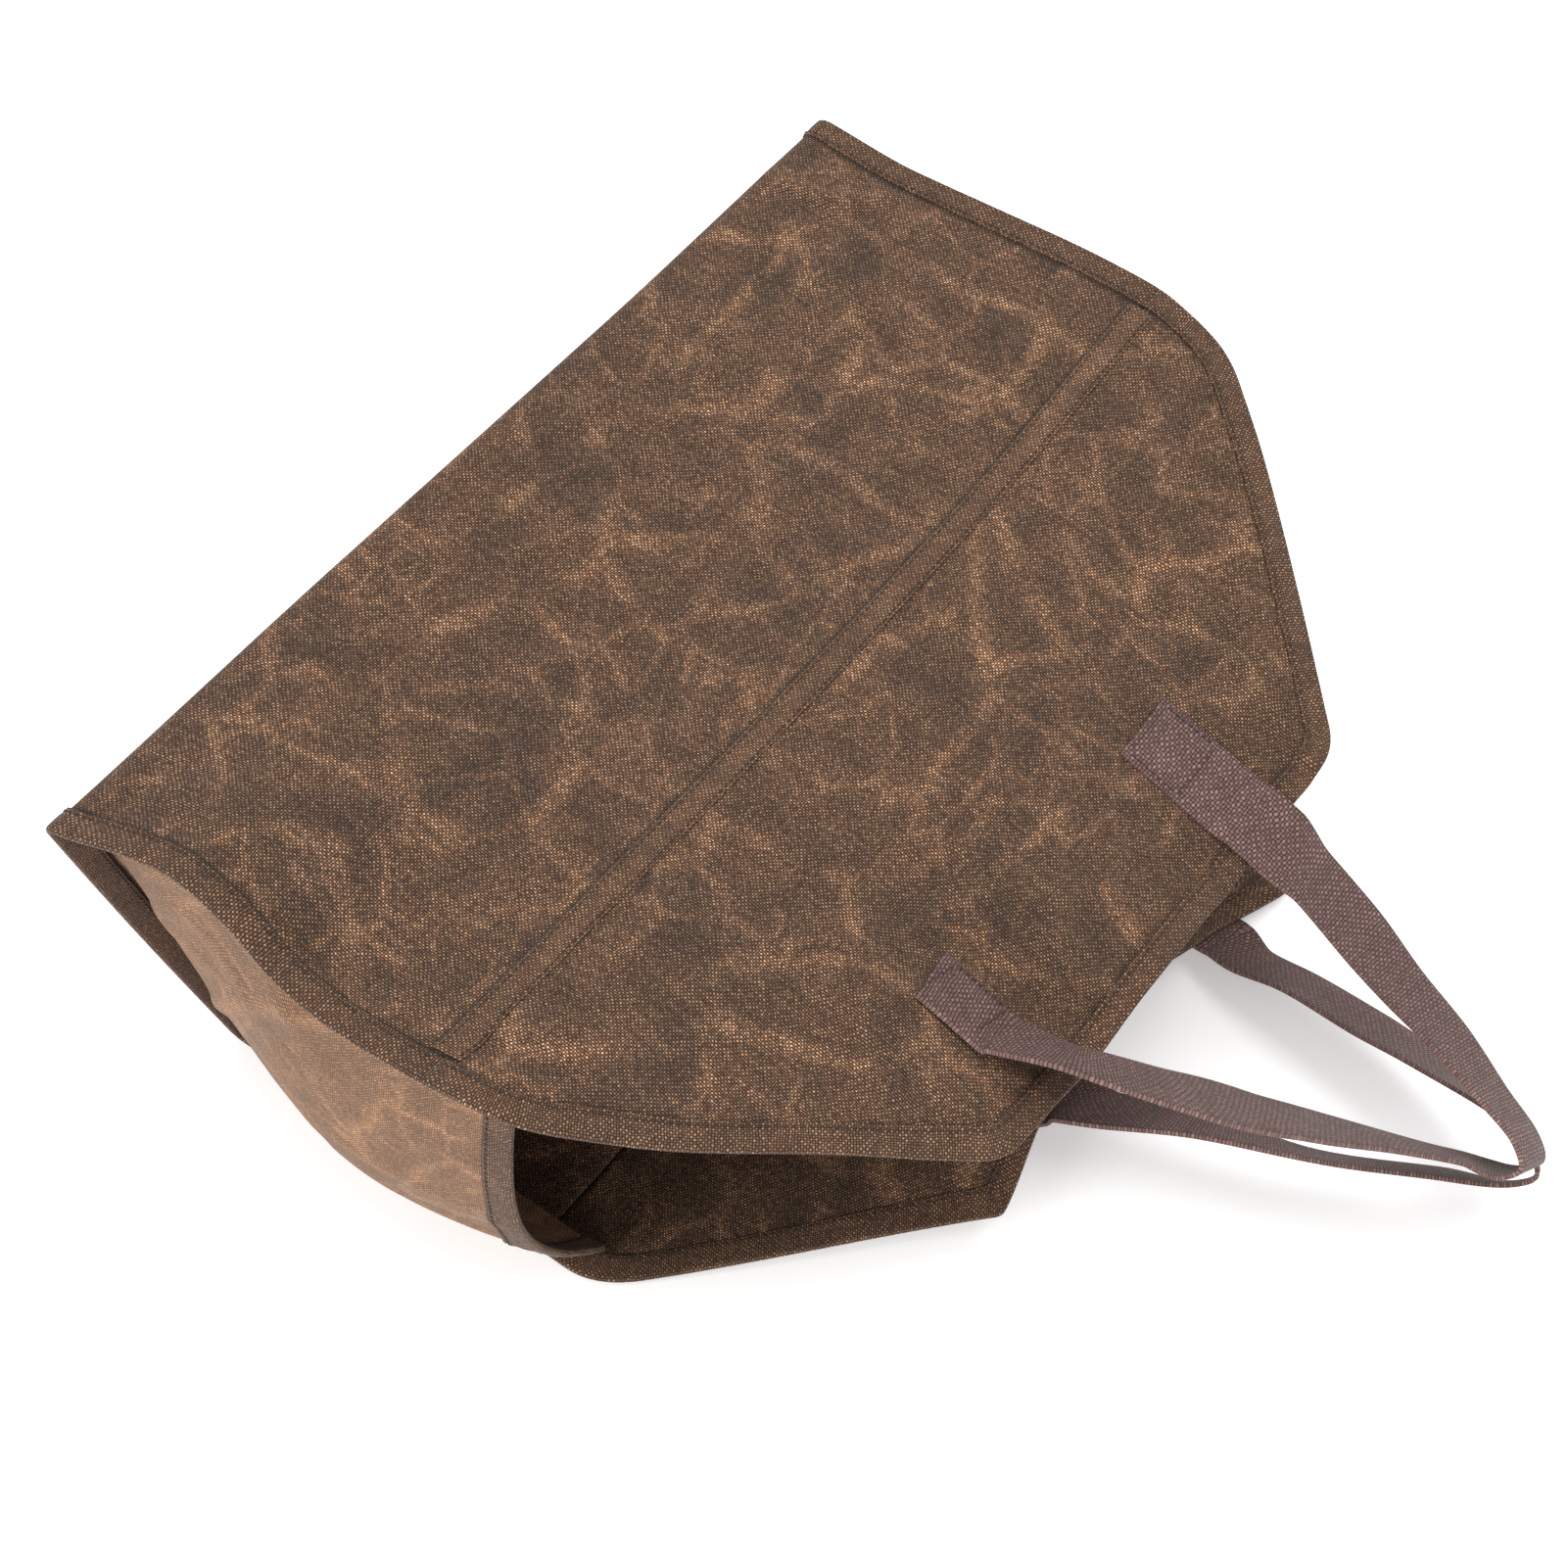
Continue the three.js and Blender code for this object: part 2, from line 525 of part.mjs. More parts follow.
const gussetShares = [0, ...bottomShares, 1];
const gussetHeights = [
  0,
  ...lowerHeights.slice(0, -1),
  SEAM_HEIGHT + seamGap,
  SEAM_HEIGHT + SEAM_STRIP_WIDTH,
  GUSSET_HEIGHT - TAPE_WIDTH,
  GUSSET_HEIGHT,
];

function gusset(end) {
  return bentSheet(gussetShares, gussetHeights, (share, height, face) => {
    const point = gussetPoint(end, share, height);
    point.x += face * CANVAS / 2;
    return point;
  });
}

function gussetBinding(end) {
  const surface = (share, height) => gussetPoint(end, share / DEPTH, height);
  const endClearance = TAPE_FACE + 2 * SEAT;
  const stations = [endClearance, ...gussetShares.slice(1, -1).map((share) => share * DEPTH),
    DEPTH - endClearance];
  return foldedTape(stations, surface, (share, inward) => ({ a: share, b: GUSSET_HEIGHT - inward }));
}

addPiece('near_gusset', gusset(1), MATERIALS.gusset);
addPiece('far_gusset', gusset(-1), MATERIALS.gusset);
addPiece('near_gusset_binding', gussetBinding(1), MATERIALS.tape);
addPiece('far_gusset_binding', gussetBinding(-1), MATERIALS.tape);

// A handle is one length of webbing, sewn flat to a panel at both ends. Each station gives the
// place of a point across the webbing and through its thickness.
const tailHeights = [
  ...TAIL_SHARES.map((share) => PANEL_HEIGHT - share * HANDLE_TAIL),
  ...TAIL_TAPE_SHARES.map((share) => PANEL_HEIGHT - share * TAPE_WIDTH),
  PANEL_HEIGHT + STRAP_OVERHANG,
];

function sewnStation(panel, across, height) {
  const overTape = height > PANEL_HEIGHT - OVER_TAPE_SHARE * TAPE_WIDTH;
  const under = overTape ? TAPE_FACE + HANDLE_EDGE_SEAT : CANVAS / 2 + HANDLE_SEAT;
  const off = under + WEBBING / 2;
  const point = offSurface(panel.surface, across, height, panel.outward * off);
  const width = panel.surface(across + 1, height).sub(panel.surface(across - 1, height)).normalize();
  const place = (side, face) => offSurface(panel.surface, across + side * WEBBING_WIDTH, height,
    panel.outward * (off + face * WEBBING / 2));
  return { point, width, place };
}

function freeStations(controls, outward) {
  const curve = new THREE.CatmullRomCurve3(controls.map((control) => control.point), false, 'centripetal');
  const last = controls.length - 1;
  const free = [];
  for (let i = 2; i < 2 * last - 1; i += 1) {
    const at = i / (2 * last);
    const before = controls[Math.floor(i / 2)].width;
    const width = before.clone().lerp(controls[Math.ceil(i / 2)].width, 0.5);
    const tangent = curve.getTangent(at);
    width.addScaledVector(tangent, -width.dot(tangent)).normalize();
    const normal = width.clone().cross(tangent).multiplyScalar(outward);
    const point = curve.getPoint(at);
    free.push((side, face) => point.clone().addScaledVector(width, side * WEBBING_WIDTH)
      .addScaledVector(normal, face * WEBBING / 2));
  }
  return free;
}

function handle(panel, nearLeg, farLeg, tip) {
  const width = tip.across;
  const centre = new THREE.Vector3(tip.shift, PANEL_HEIGHT + HANDLE_REACH - TIP_RADIUS, tip.height);
  const outwards = new THREE.Vector3(0, 1, 0).addScaledVector(width, -width.y).normalize();
  const sideways = outwards.clone().cross(width);
  const loop = LOOP_TURNS.map((share) => ({
    point: centre.clone()
      .addScaledVector(sideways, TIP_RADIUS * Math.cos(Math.PI * share))
      .addScaledVector(outwards, TIP_RADIUS * Math.sin(Math.PI * share)),
    width,
  }));
  const tail = (leg, end) => tailHeights.filter((height) => height <= leg.tailEnd).map(
    (height) => sewnStation(panel, end * HANDLE_SPACING / 2 + panel.handleShift, height));
  const run = (leg, start, loopEnd) => leg.rows.map((row) => {
    const point = start.point.clone().lerp(loopEnd.point, row.at);
    point.x += row.aside * HANDLE_SPACING;
    point.z += row.rise * DEPTH;
    return { point, width: start.width.clone().lerp(width, row.turn).normalize() };
  });
  const nearTail = tail(nearLeg, 1);
  const farTail = tail(farLeg, -1);
  const controls = [
    ...nearTail.slice(-2),
    ...run(nearLeg, nearTail[nearTail.length - 1], loop[0]),
    ...loop,
    ...run(farLeg, farTail[farTail.length - 1], loop[loop.length - 1]).reverse(),
    ...farTail.slice(-2).reverse(),
  ];
  const places = [
    ...nearTail.map((station) => station.place),
    ...freeStations(controls, panel.outward).slice(1, -1),
    ...farTail.map((station) => station.place).reverse(),
  ];
  return bentSheet(places, WEBBING_SHARES, (place, side, face) => place(side, face));
}

addPiece('front_handle', handle(FRONT, FRONT_NEAR_LEG, FRONT_FAR_LEG, FRONT_TIP), MATERIALS.webbing);
addPiece('back_handle', handle(BACK, BACK_NEAR_LEG, BACK_FAR_LEG, BACK_TIP), MATERIALS.webbing);

// The origin is under the middle of the whole carrier, on the floor
const box = new THREE.Box3().setFromObject(carrier);
const centre = box.getCenter(new THREE.Vector3());
carrier.position.set(-centre.x, -centre.y, -box.min.z);

export default carrier;
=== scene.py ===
"""A waxed canvas log carrier, lying on its back panel on a pale studio floor.

The pattern and the pose are in millimetres, in the bag's own frame: the back panel lies on z = 0,
X runs along the folds to the near end and Y from the bottom to the mouth. The meshes are made from
them in metres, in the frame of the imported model.
"""

import logging
import math
from collections.abc import Callable, Sequence
from dataclasses import dataclass, field
from enum import Enum

import bmesh
import bpy
import numpy as np
from mathutils import Euler, Matrix, Vector


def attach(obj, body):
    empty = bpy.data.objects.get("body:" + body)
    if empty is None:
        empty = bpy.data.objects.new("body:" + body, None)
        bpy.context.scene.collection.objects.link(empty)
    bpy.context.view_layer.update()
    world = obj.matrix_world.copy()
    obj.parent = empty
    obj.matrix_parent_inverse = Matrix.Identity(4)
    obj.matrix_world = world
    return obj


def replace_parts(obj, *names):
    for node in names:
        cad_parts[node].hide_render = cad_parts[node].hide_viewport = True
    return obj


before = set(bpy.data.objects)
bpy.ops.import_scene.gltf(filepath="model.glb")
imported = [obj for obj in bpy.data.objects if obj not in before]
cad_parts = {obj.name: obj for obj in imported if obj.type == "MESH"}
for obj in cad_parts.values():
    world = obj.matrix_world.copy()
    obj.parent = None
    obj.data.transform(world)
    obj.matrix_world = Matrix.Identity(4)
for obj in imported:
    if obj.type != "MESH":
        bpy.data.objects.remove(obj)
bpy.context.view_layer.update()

log = logging.getLogger("log_carrier")

MM = 0.001
BAG_ORIGIN = np.array([-27.982, -294.253, 0.0])
Array = np.ndarray
Surface = Callable[[Array, Array], Array]


@dataclass(frozen=True)
class Pattern:
    """Sizes that the carrier is cut and sewn to, in millimetres."""

    length: float = 550.0
    depth: float = 285.0
    panel_height: float = 420.0
    gusset_height: float = 238.0
    taper_height: float = 246.0
    seam_height: float = 206.0
    mouth_width: float = 267.0
    canvas: float = 1.4
    tape: float = 0.9
    tape_gap: float = 0.25
    tape_width: float = 12.5
    strip_width: float = 14.0
    webbing_width: float = 38.0
    webbing: float = 2.2
    handle_spacing: float = 172.0
    handle_tail: float = 80.0
    front_shift: float = 6.0
    back_shift: float = -3.0
    fold_radius: float = 7.0
    taper_corner: float = 20.0
    mouth_corner: float = 25.0
    end_corner: float = 6.0
    seam_in: float = 14.8
    seat: float = 1.2

    @property
    def chain(self) -> float:
        """Length of the body's one strip of canvas, from cross seam to cross seam."""
        return 2 * self.seam_height + self.depth

    @property
    def taper(self) -> float:
        """How fast a top panel narrows on each side."""
        return (self.length - self.mouth_width) / 2 / (self.panel_height - self.taper_height)


@dataclass(frozen=True)
class Pose:
    """How the limp bag lies: slopes, leans and bulges of its walls."""

    front_slope: float = math.radians(-5.5)
    front_top_slope: float = math.radians(-28.4)
    slope_bend: float = 60.0
    bottom_lean: float = math.radians(3)
    bottom_bulge: float = 5.13
    shift_at_fold: float = 60.5
    shift_at_mouth: float = 46.2
    gusset_bow: float = 29.9
    gusset_belly: float = 21.4
    strap_roll: float = 12.8
    strap_roll_span: float = 137.6
    roll_starts: float = 144.0
    roll_full: float = 70.4
    roll_fades: float = 44.8


# Waves of the front panel: share of its height, then out and lift in millimetres
FRONT_WAVES = (
    ("at", "near_out", "near_lift", "mid_lift", "far_out", "far_lift"),
    (0.00, 4.95, -2.85, 0.00, 4.40, 3.99),
    (0.12, -3.30, 7.41, -5.70, 2.75, 3.14),
    (0.18, -3.85, 10.83, -9.12, 3.30, 3.99),
    (0.24, -1.65, 5.70, -12.54, 4.40, 5.13),
    (0.30, 1.65, -5.70, -14.82, 5.50, 6.27),
    (0.36, 3.30, -9.12, -15.96, 6.60, 7.41),
    (0.42, 3.30, -7.98, -15.96, 7.15, 7.98),
    (0.49, 2.20, -5.13, -14.25, 6.60, 7.98),
    (0.57, 0.00, 0.00, -11.40, 3.85, 5.13),
    (0.72, 2.20, -3.99, -3.42, 7.15, 12.83),
    (0.86, 0.00, 0.86, 2.28, 7.70, 12.83),
    (1.00, 0.00, 2.85, 2.85, 6.60, 10.26),
)

# Mouth edge of the back panel from the far corner to the near one
BACK_MOUTH = (
    ("at", "lift", "pull", "shift"),
    (-1.0, 6.27, 24.2, 4.40),
    (-0.66, 14.25, 41.3, 13.2),
    (0.0, 39.9, 49.9, 4.40),
    (0.66, 42.75, 42.75, 3.30),
    (1.0, 27.1, 32.8, 4.40),
)

# Ridges and valleys of the front panel, from one end to the other: across and height of both ends,
# half width and lift in millimetres, and how strongly the wax is rubbed off along them
FRONT_RIDGES = (
    ((-160, 20), (-107, 58), 7, 1.6, 0.55),
    ((-107, 58), (-87, 60), 6, 1.2, 0.60),
    ((-72, 74), (-92, 88), 5, 1.2, 0.80),
    ((-71, 98), (-73, 118), 4, 0.8, 0.80),
    ((9, 120), (-25, 119), 5, 1.2, 0.50),
    ((-25, 119), (-91, 130), 5, 1.4, 0.60),
    ((79, 94), (67, 114), 4, 1.0, 0.60),
    ((67, 114), (31, 122), 4, 1.2, 0.60),
    ((35, 56), (21, 64), 4, 0.9, 0.50),
    ((21, 64), (-9, 76), 4, 0.9, 0.60),
    ((41, 14), (58, 34), 6, 1.2, 0.45),
    ((-229, 14), (-233, 40), 8, 2.6, 0.60),
    ((-233, 40), (-250, 56), 7, 2.2, 0.70),
    ((-215, 60), (-190, 96), 7, 1.4, 0.35),
    ((-171, 268), (-160, 298), 6, 1.8, 0.50),
    ((-160, 298), (-135, 330), 7, 1.6, 0.50),
    ((-33, 290), (-3, 312), 6, 1.6, 0.40),
    ((-3, 312), (31, 314), 6, 1.8, 0.55),
    ((31, 314), (55, 328), 6, 1.4, 0.45),
    ((-3, 276), (45, 302), 7, 1.4, 0.35),
    ((120, 150), (170, 176), 7, 1.2, 0.30),
    ((150, 60), (190, 100), 8, 1.4, 0.35),
    ((190, 100), (220, 150), 8, 1.2, 0.30),
    ((120, 240), (165, 262), 8, 1.4, 0.30),
    ((-60, 30), (-20, 20), 6, 1.0, 0.40),
    ((-190, 120), (-150, 160), 8, 1.4, 0.35),
    ((248, 20), (256, 120), 7, -2.4, 0.0),
    ((256, 120), (252, 160), 7, -3.0, 0.0),
    ((246, 212), (236, 250), 9, -4.0, 0.0),
    ((109, 418), (118, 376), 9, -3.0, 0.0),
    ((-45, 420), (-38, 384), 12, -3.0, 0.0),
    ((-112, 418), (-116, 384), 8, -3.5, 0.0),
    ((-236, 66), (-222, 78), 9, -2.4, 0.0),
)

# The same for the near and far gussets: from the back edge and up from the bottom
GUSSET_RIDGES = (
    ((58, 10), (150, 60), 7, 1.8, 0.55),
    ((150, 60), (232, 118), 7, 2.2, 0.70),
    ((232, 118), (260, 150), 6, 1.6, 0.65),
    ((80, 6), (110, 40), 6, 1.4, 0.50),
    ((223, 46), (206, 94), 7, 1.6, 0.55),
    ((40, 148), (52, 232), 7, 1.8, 0.45),
    ((96, 130), (104, 226), 8, 1.6, 0.45),
    ((150, 150), (146, 226), 8, 1.4, 0.35),
    ((190, 60), (176, 12), 7, 1.6, 0.40),
    ((120, 80), (70, 120), 8, -1.6, 0.0),
    ((250, 60), (240, 30), 6, 1.4, 0.50),
)


class Leg(Enum):
    """Free runs of the handles: height of the tail's end, then share, shift, rise and turn."""

    FRONT_NEAR = (
        380.0,
        ((0.19, 17.5, 22.8, 0.78), (0.39, 21.5, 25.9, 0.78), (0.56, 10.7, 10.5, 1.02))
        + ((0.72, -3.8, -7.4, 1.25), (0.88, -7.1, -10.3, 1.43)),
    )
    FRONT_FAR = (
        427.0,
        ((0.12, -4.6, -5.4, 0.46), (0.29, -7.4, -9.4, 0.44), (0.48, -7.7, -10.8, 0.60))
        + ((0.68, -7.4, -7.1, 0.75), (0.86, -3.8, -3.7, 0.93)),
    )
    BACK_NEAR = (
        380.0,
        ((0.11, -6.5, -9.7, 0.32), (0.22, 0.0, -2.9, 0.52), (0.42, 4.5, 6.3, 0.71))
        + ((0.65, 6.4, 0.9, 0.90), (0.87, 2.1, 0.0, 0.90)),
    )
    BACK_FAR = (
        427.0,
        ((0.08, 1.5, -2.3, 0.27), (0.25, -2.4, 1.7, 0.42), (0.45, -6.5, 0.0, 0.39))
        + ((0.65, -8.6, 0.0, 0.56), (0.88, -6.9, 0.3, 0.84)),
    )


class Tip(Enum):
    """Tips of the handles' loops: the place, and the direction across the webbing there."""

    FRONT = ((1.1, 579.0, 93.5), (0.715, -0.07, 0.696))
    BACK = ((-18.7, 579.0, 54.15), (0.545, 0.1, 0.832))


def smoothstep(value: Array, low: float, high: float) -> Array:
    """Rises smoothly from 0 at low to 1 at high."""
    share = np.clip((np.asarray(value, float) - low) / (high - low), 0.0, 1.0)
    return share * share * (3 - 2 * share)


def read_table(table: Sequence[Sequence], column: str, at: Array) -> Array:
    """Reads a column of a table with a smooth curve between its rows.

    Args:
        table: names of the columns, then rows sorted by their first value.
        column: name of the column to read.
        at: places to read it at; beyond the ends the end rows hold.

    Returns:
        The column's value at each place.
    """
    rows = np.array(table[1:], float)
    values = rows[:, table[0].index(column)]
    stations = rows[:, 0]
    at = np.clip(np.asarray(at, float), stations[0], stations[-1])
    row = np.clip(np.searchsorted(stations, at, side="right") - 1, 0, len(stations) - 2)
    before = values[np.maximum(row - 1, 0)]
    start = values[row]
    end = values[row + 1]
    after = values[np.minimum(row + 2, len(values) - 1)]
    share = (at - stations[row]) / (stations[row + 1] - stations[row])
    return 0.5 * (
        2 * start
        + (end - before) * share
        + (2 * before - 5 * start + 4 * end - after) * share**2
        + (3 * start - before - 3 * end + after) * share**3
    )


def ridges(table: Sequence[Sequence], a: Array, b: Array) -> tuple[Array, Array]:
    """Relief and rubbing of a cloth's ridges.

    Args:
        table: ridges as ends, half width, lift and rubbing.
        a: places along the cloth's first direction.
        b: places along its second direction.

    Returns:
        The lift at each place in millimetres, and how far the wax is rubbed off there.
    """
    lift, rubbed = np.zeros(np.shape(a)), np.zeros(np.shape(a))
    for start, end, half_width, rise, rub in table:
        run = np.subtract(end, start).astype(float)
        share = np.clip(((a - start[0]) * run[0] + (b - start[1]) * run[1]) / (run @ run), 0, 1)
        away = np.hypot(a - start[0] - share * run[0], b - start[1] - share * run[1]) / half_width
        lift = lift + rise * np.exp(-away * away)
        rubbed = np.maximum(rubbed, rub * np.exp(-3 * away * away))
    return lift, rubbed


def points(x: Array, y: Array, z: Array) -> Array:
    """Stacks three coordinates into points."""
    return np.stack(np.broadcast_arrays(x, y, z), axis=-1)


def bezier(before: Array, corner: Array, after: Array, share: Array) -> Array:
    """A point on the arc that rounds a corner."""
    share = share[..., None]
    return before * (1 - share) ** 2 + corner * 2 * share * (1 - share) + after * share**2


@dataclass(frozen=True)
class BagShape:
    """Surfaces of the lying bag, as middles of the cloth, in the bag's own frame."""

    cut: Pattern = Pattern()
    pose: Pose = Pose()

    def taper_half_width(self, height: Array) -> Array:
        """Half width of a panel at a height, with a softened taper corner."""
        cut = self.cut
        past = np.minimum(height, cut.panel_height) - cut.taper_height
        soft = cut.taper * (np.clip(past, -cut.taper_corner, cut.taper_corner) + cut.taper_corner) ** 2
        soft = soft / (4 * cut.taper_corner)
        straight = cut.taper * np.maximum(past - cut.taper_corner, 0)
        return cut.length / 2 - soft - straight

    def corner(self, radius: float) -> tuple[float, float]:
        """Middle of a mouth corner's arc and the height at which it starts."""
        angle = math.atan(self.cut.taper)
        run = radius * math.tan((math.pi / 2 - angle) / 2)
        return self.cut.mouth_width / 2 - run, self.cut.panel_height - run * math.cos(angle)

    def panel_half_width(self, height: Array, radius: float) -> Array:
        """Half width of a top panel whose mouth corner has this radius."""
        centre, start = self.corner(radius)
        up = height - (self.cut.panel_height - radius)
        arc = centre + np.sqrt(np.maximum(radius**2 - up**2, 0))
        return np.where(height <= start, self.taper_half_width(height), arc)

    def front_profile(self, height: Array) -> tuple[Array, Array]:
        """Side view of the front panel: two slopes joined by an even bend."""
        pose = self.pose
        bend_start = self.cut.gusset_height - pose.slope_bend / 2
        straight = np.minimum(height, bend_start)
        radius = pose.slope_bend / (pose.front_top_slope - pose.front_slope)
        angle = pose.front_slope + np.clip(height - bend_start, 0, pose.slope_bend) / radius
        past = np.maximum(height - bend_start - pose.slope_bend, 0)
        y = straight * math.cos(pose.front_slope) + radius * (np.sin(angle) - math.sin(pose.front_slope))
        z = straight * math.sin(pose.front_slope) - radius * (np.cos(angle) - math.cos(pose.front_slope))
        return y + past * math.cos(pose.front_top_slope), z + past * math.sin(pose.front_top_slope)

    def front(self, across: Array, height: Array) -> Array:
        """Middle of the front panel's canvas."""
        cut, pose = self.cut, self.pose
        side = across / self.taper_half_width(height)
        at = height / cut.panel_height
        near, far = smoothstep(side, 0.35, 1), smoothstep(-side, 0.35, 1)
        middle = np.maximum(1 - side * side, 0)
        below = cut.panel_height - height
        rolled = 1 - smoothstep(below, pose.roll_full, pose.roll_starts)
        rolled = rolled * (1 - 0.5 * (1 - smoothstep(below, 0, pose.roll_fades)))
        beside_strap = across - cut.handle_spacing / 2 - cut.front_shift
        from_strap = np.clip(beside_strap / pose.strap_roll_span, -0.5, 0.5)
        roll = pose.strap_roll * rolled * np.sin(2 * np.pi * from_strap) * np.cos(np.pi * from_strap)
        roll = roll + ridges(FRONT_RIDGES, across, height)[0]
        out = near * read_table(FRONT_WAVES, "near_out", at) - far * read_table(FRONT_WAVES, "far_out", at)
        lift = (
            near * read_table(FRONT_WAVES, "near_lift", at)
            + far * read_table(FRONT_WAVES, "far_lift", at)
            + middle * read_table(FRONT_WAVES, "mid_lift", at)
        )
        shift = pose.shift_at_fold + (pose.shift_at_mouth - pose.shift_at_fold) * at
        y, z = self.front_profile(height)
        return points(
            across + shift + out,
            cut.depth * math.sin(pose.bottom_lean) + y,
            cut.depth * 0.96 + z + lift + roll,
        )

    def back(self, across: Array, height: Array) -> Array:
        """Middle of the back panel's canvas, which lies on the floor and lifts at the mouth."""
        cut = self.cut
        side = across / self.taper_half_width(height)
        in_from_edge = self.taper_half_width(height) - np.abs(across)
        edge = 1 - smoothstep(in_from_edge, cut.seam_in + 0.5, 3 * cut.seam_in)
        strip = 1 - smoothstep(np.abs(height - cut.seam_height), cut.strip_width, 2 * cut.strip_width)
        ramp = smoothstep(height, cut.seam_height, cut.panel_height)
        slant = np.clip((height - cut.seam_height) / (cut.panel_height - cut.seam_height), 0, None)
        rise = (cut.tape + cut.tape_gap) * np.maximum(edge, strip)
        return points(
            across + np.minimum(slant, 1) * read_table(BACK_MOUTH, "shift", side),
            height - np.minimum(slant, 1) ** 1.5 * read_table(BACK_MOUTH, "pull", side),
            cut.canvas / 2 + rise + ramp * read_table(BACK_MOUTH, "lift", side),
        )

    def bottom(self, across: Array, share: Array) -> Array:
        """Middle of the bottom's canvas, from the back fold (0) to the front fold (1)."""
        zero = np.zeros_like(across)
        start, end = self.back(across, zero), self.front(across, zero)
        place = start + (end - start) * share[..., None]
        place[..., 1] -= self.pose.bottom_bulge * np.sin(np.pi * share)
        return place

    def body(self, across: Array, along: Array) -> Array:
        """The body's one strip of canvas: down the front, across the bottom and up the back."""
        cut = self.cut
        across, along = np.broadcast_arrays(np.asarray(across, float), np.asarray(along, float))
        radius, front_fold, back_fold = cut.fold_radius, cut.seam_height, cut.seam_height + cut.depth
        share = radius / cut.depth
        place = self.bottom(across, np.clip((back_fold - along) / cut.depth, 0, 1))
        front, back = along < front_fold - radius, along > back_fold + radius
        place[front] = self.front(across[front], front_fold - along[front])
        place[back] = self.back(across[back], along[back] - back_fold)
        turn = np.abs(along - front_fold) <= radius
        a, zero = across[turn], np.zeros_like(across[turn])
        place[turn] = bezier(
            self.front(a, zero + radius),
            self.front(a, zero),
            self.bottom(a, zero + 1 - share),
            (along[turn] - front_fold + radius) / (2 * radius),
        )
        turn = np.abs(along - back_fold) <= radius
        a, zero = across[turn], np.zeros_like(across[turn])
        place[turn] = bezier(
            self.bottom(a, zero + share),
            self.back(a, zero),
            self.back(a, zero + radius),
            (along[turn] - back_fold + radius) / (2 * radius),
        )
        return place

    def gusset(self, end: int, share: Array, height: Array) -> Array:
        """Middle of an end gusset's canvas, sewn in between the folds and bowed outwards."""
        cut, pose = self.cut, self.pose
        seat = cut.canvas / 2 + 0.5
        across = end * (self.taper_half_width(height) - cut.seam_in)
        fold_across = end * (self.taper_half_width(0 * height) - cut.seam_in)

        def between(a: Array, level: Array) -> Array:
            """A point between the back and the front panel, at the gusset's share of the way."""
            back = off_surface(self.back, a, level, seat)
            front = off_surface(self.front, a, level, -seat)
            return back + (front - back) * share[..., None]

        place = between(across, height)
        seated = off_surface(self.body, fold_across, cut.seam_height + cut.depth * (1 - share), seat)
        settle = np.maximum(1 - height / cut.gusset_height, 0)[..., None]
        place = place + (seated - between(fold_across, 0 * height)) * settle
        up = np.maximum(height - cut.fold_radius, 0) / (cut.gusset_height - cut.fold_radius)
        over = np.clip((share * cut.depth - cut.fold_radius) / (cut.depth - 2 * cut.fold_radius), 0, 1)
        place[..., 0] += end * pose.gusset_bow * np.sin(np.pi * over**0.88) * np.sqrt(up)
        place[..., 0] += end * pose.gusset_belly * np.sin(np.pi * over**0.7) * np.sin(np.pi * up)
        relief = ridges(GUSSET_RIDGES, share * cut.depth, height)[0]
        place[..., 0] += end * relief * np.sin(np.pi * over) ** 0.5
        return place


def surface_normal(surface: Surface, a: Array, b: Array) -> Array:
    """Unit normal of a cloth surface, measured over a millimetre."""
    probe = 0.5
    along_a = surface(a + probe, b) - surface(a - probe, b)
    along_b = surface(a, b + probe) - surface(a, b - probe)
    normal = np.cross(along_a, along_b)
    return normal / np.linalg.norm(normal, axis=-1, keepdims=True)


def off_surface(surface: Surface, a: Array, b: Array, offset: Array | float) -> Array:
    """A point off a cloth surface, along its normal."""
    a, b = np.broadcast_arrays(np.asarray(a, float), np.asarray(b, float))
    offset = np.broadcast_to(np.asarray(offset, float), a.shape)
    return surface(a, b) + surface_normal(surface, a, b) * offset[..., None]


def to_frame(place: Array) -> Array:
    """Moves points from the bag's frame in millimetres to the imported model's in metres."""
    return (place + BAG_ORIGIN) * MM


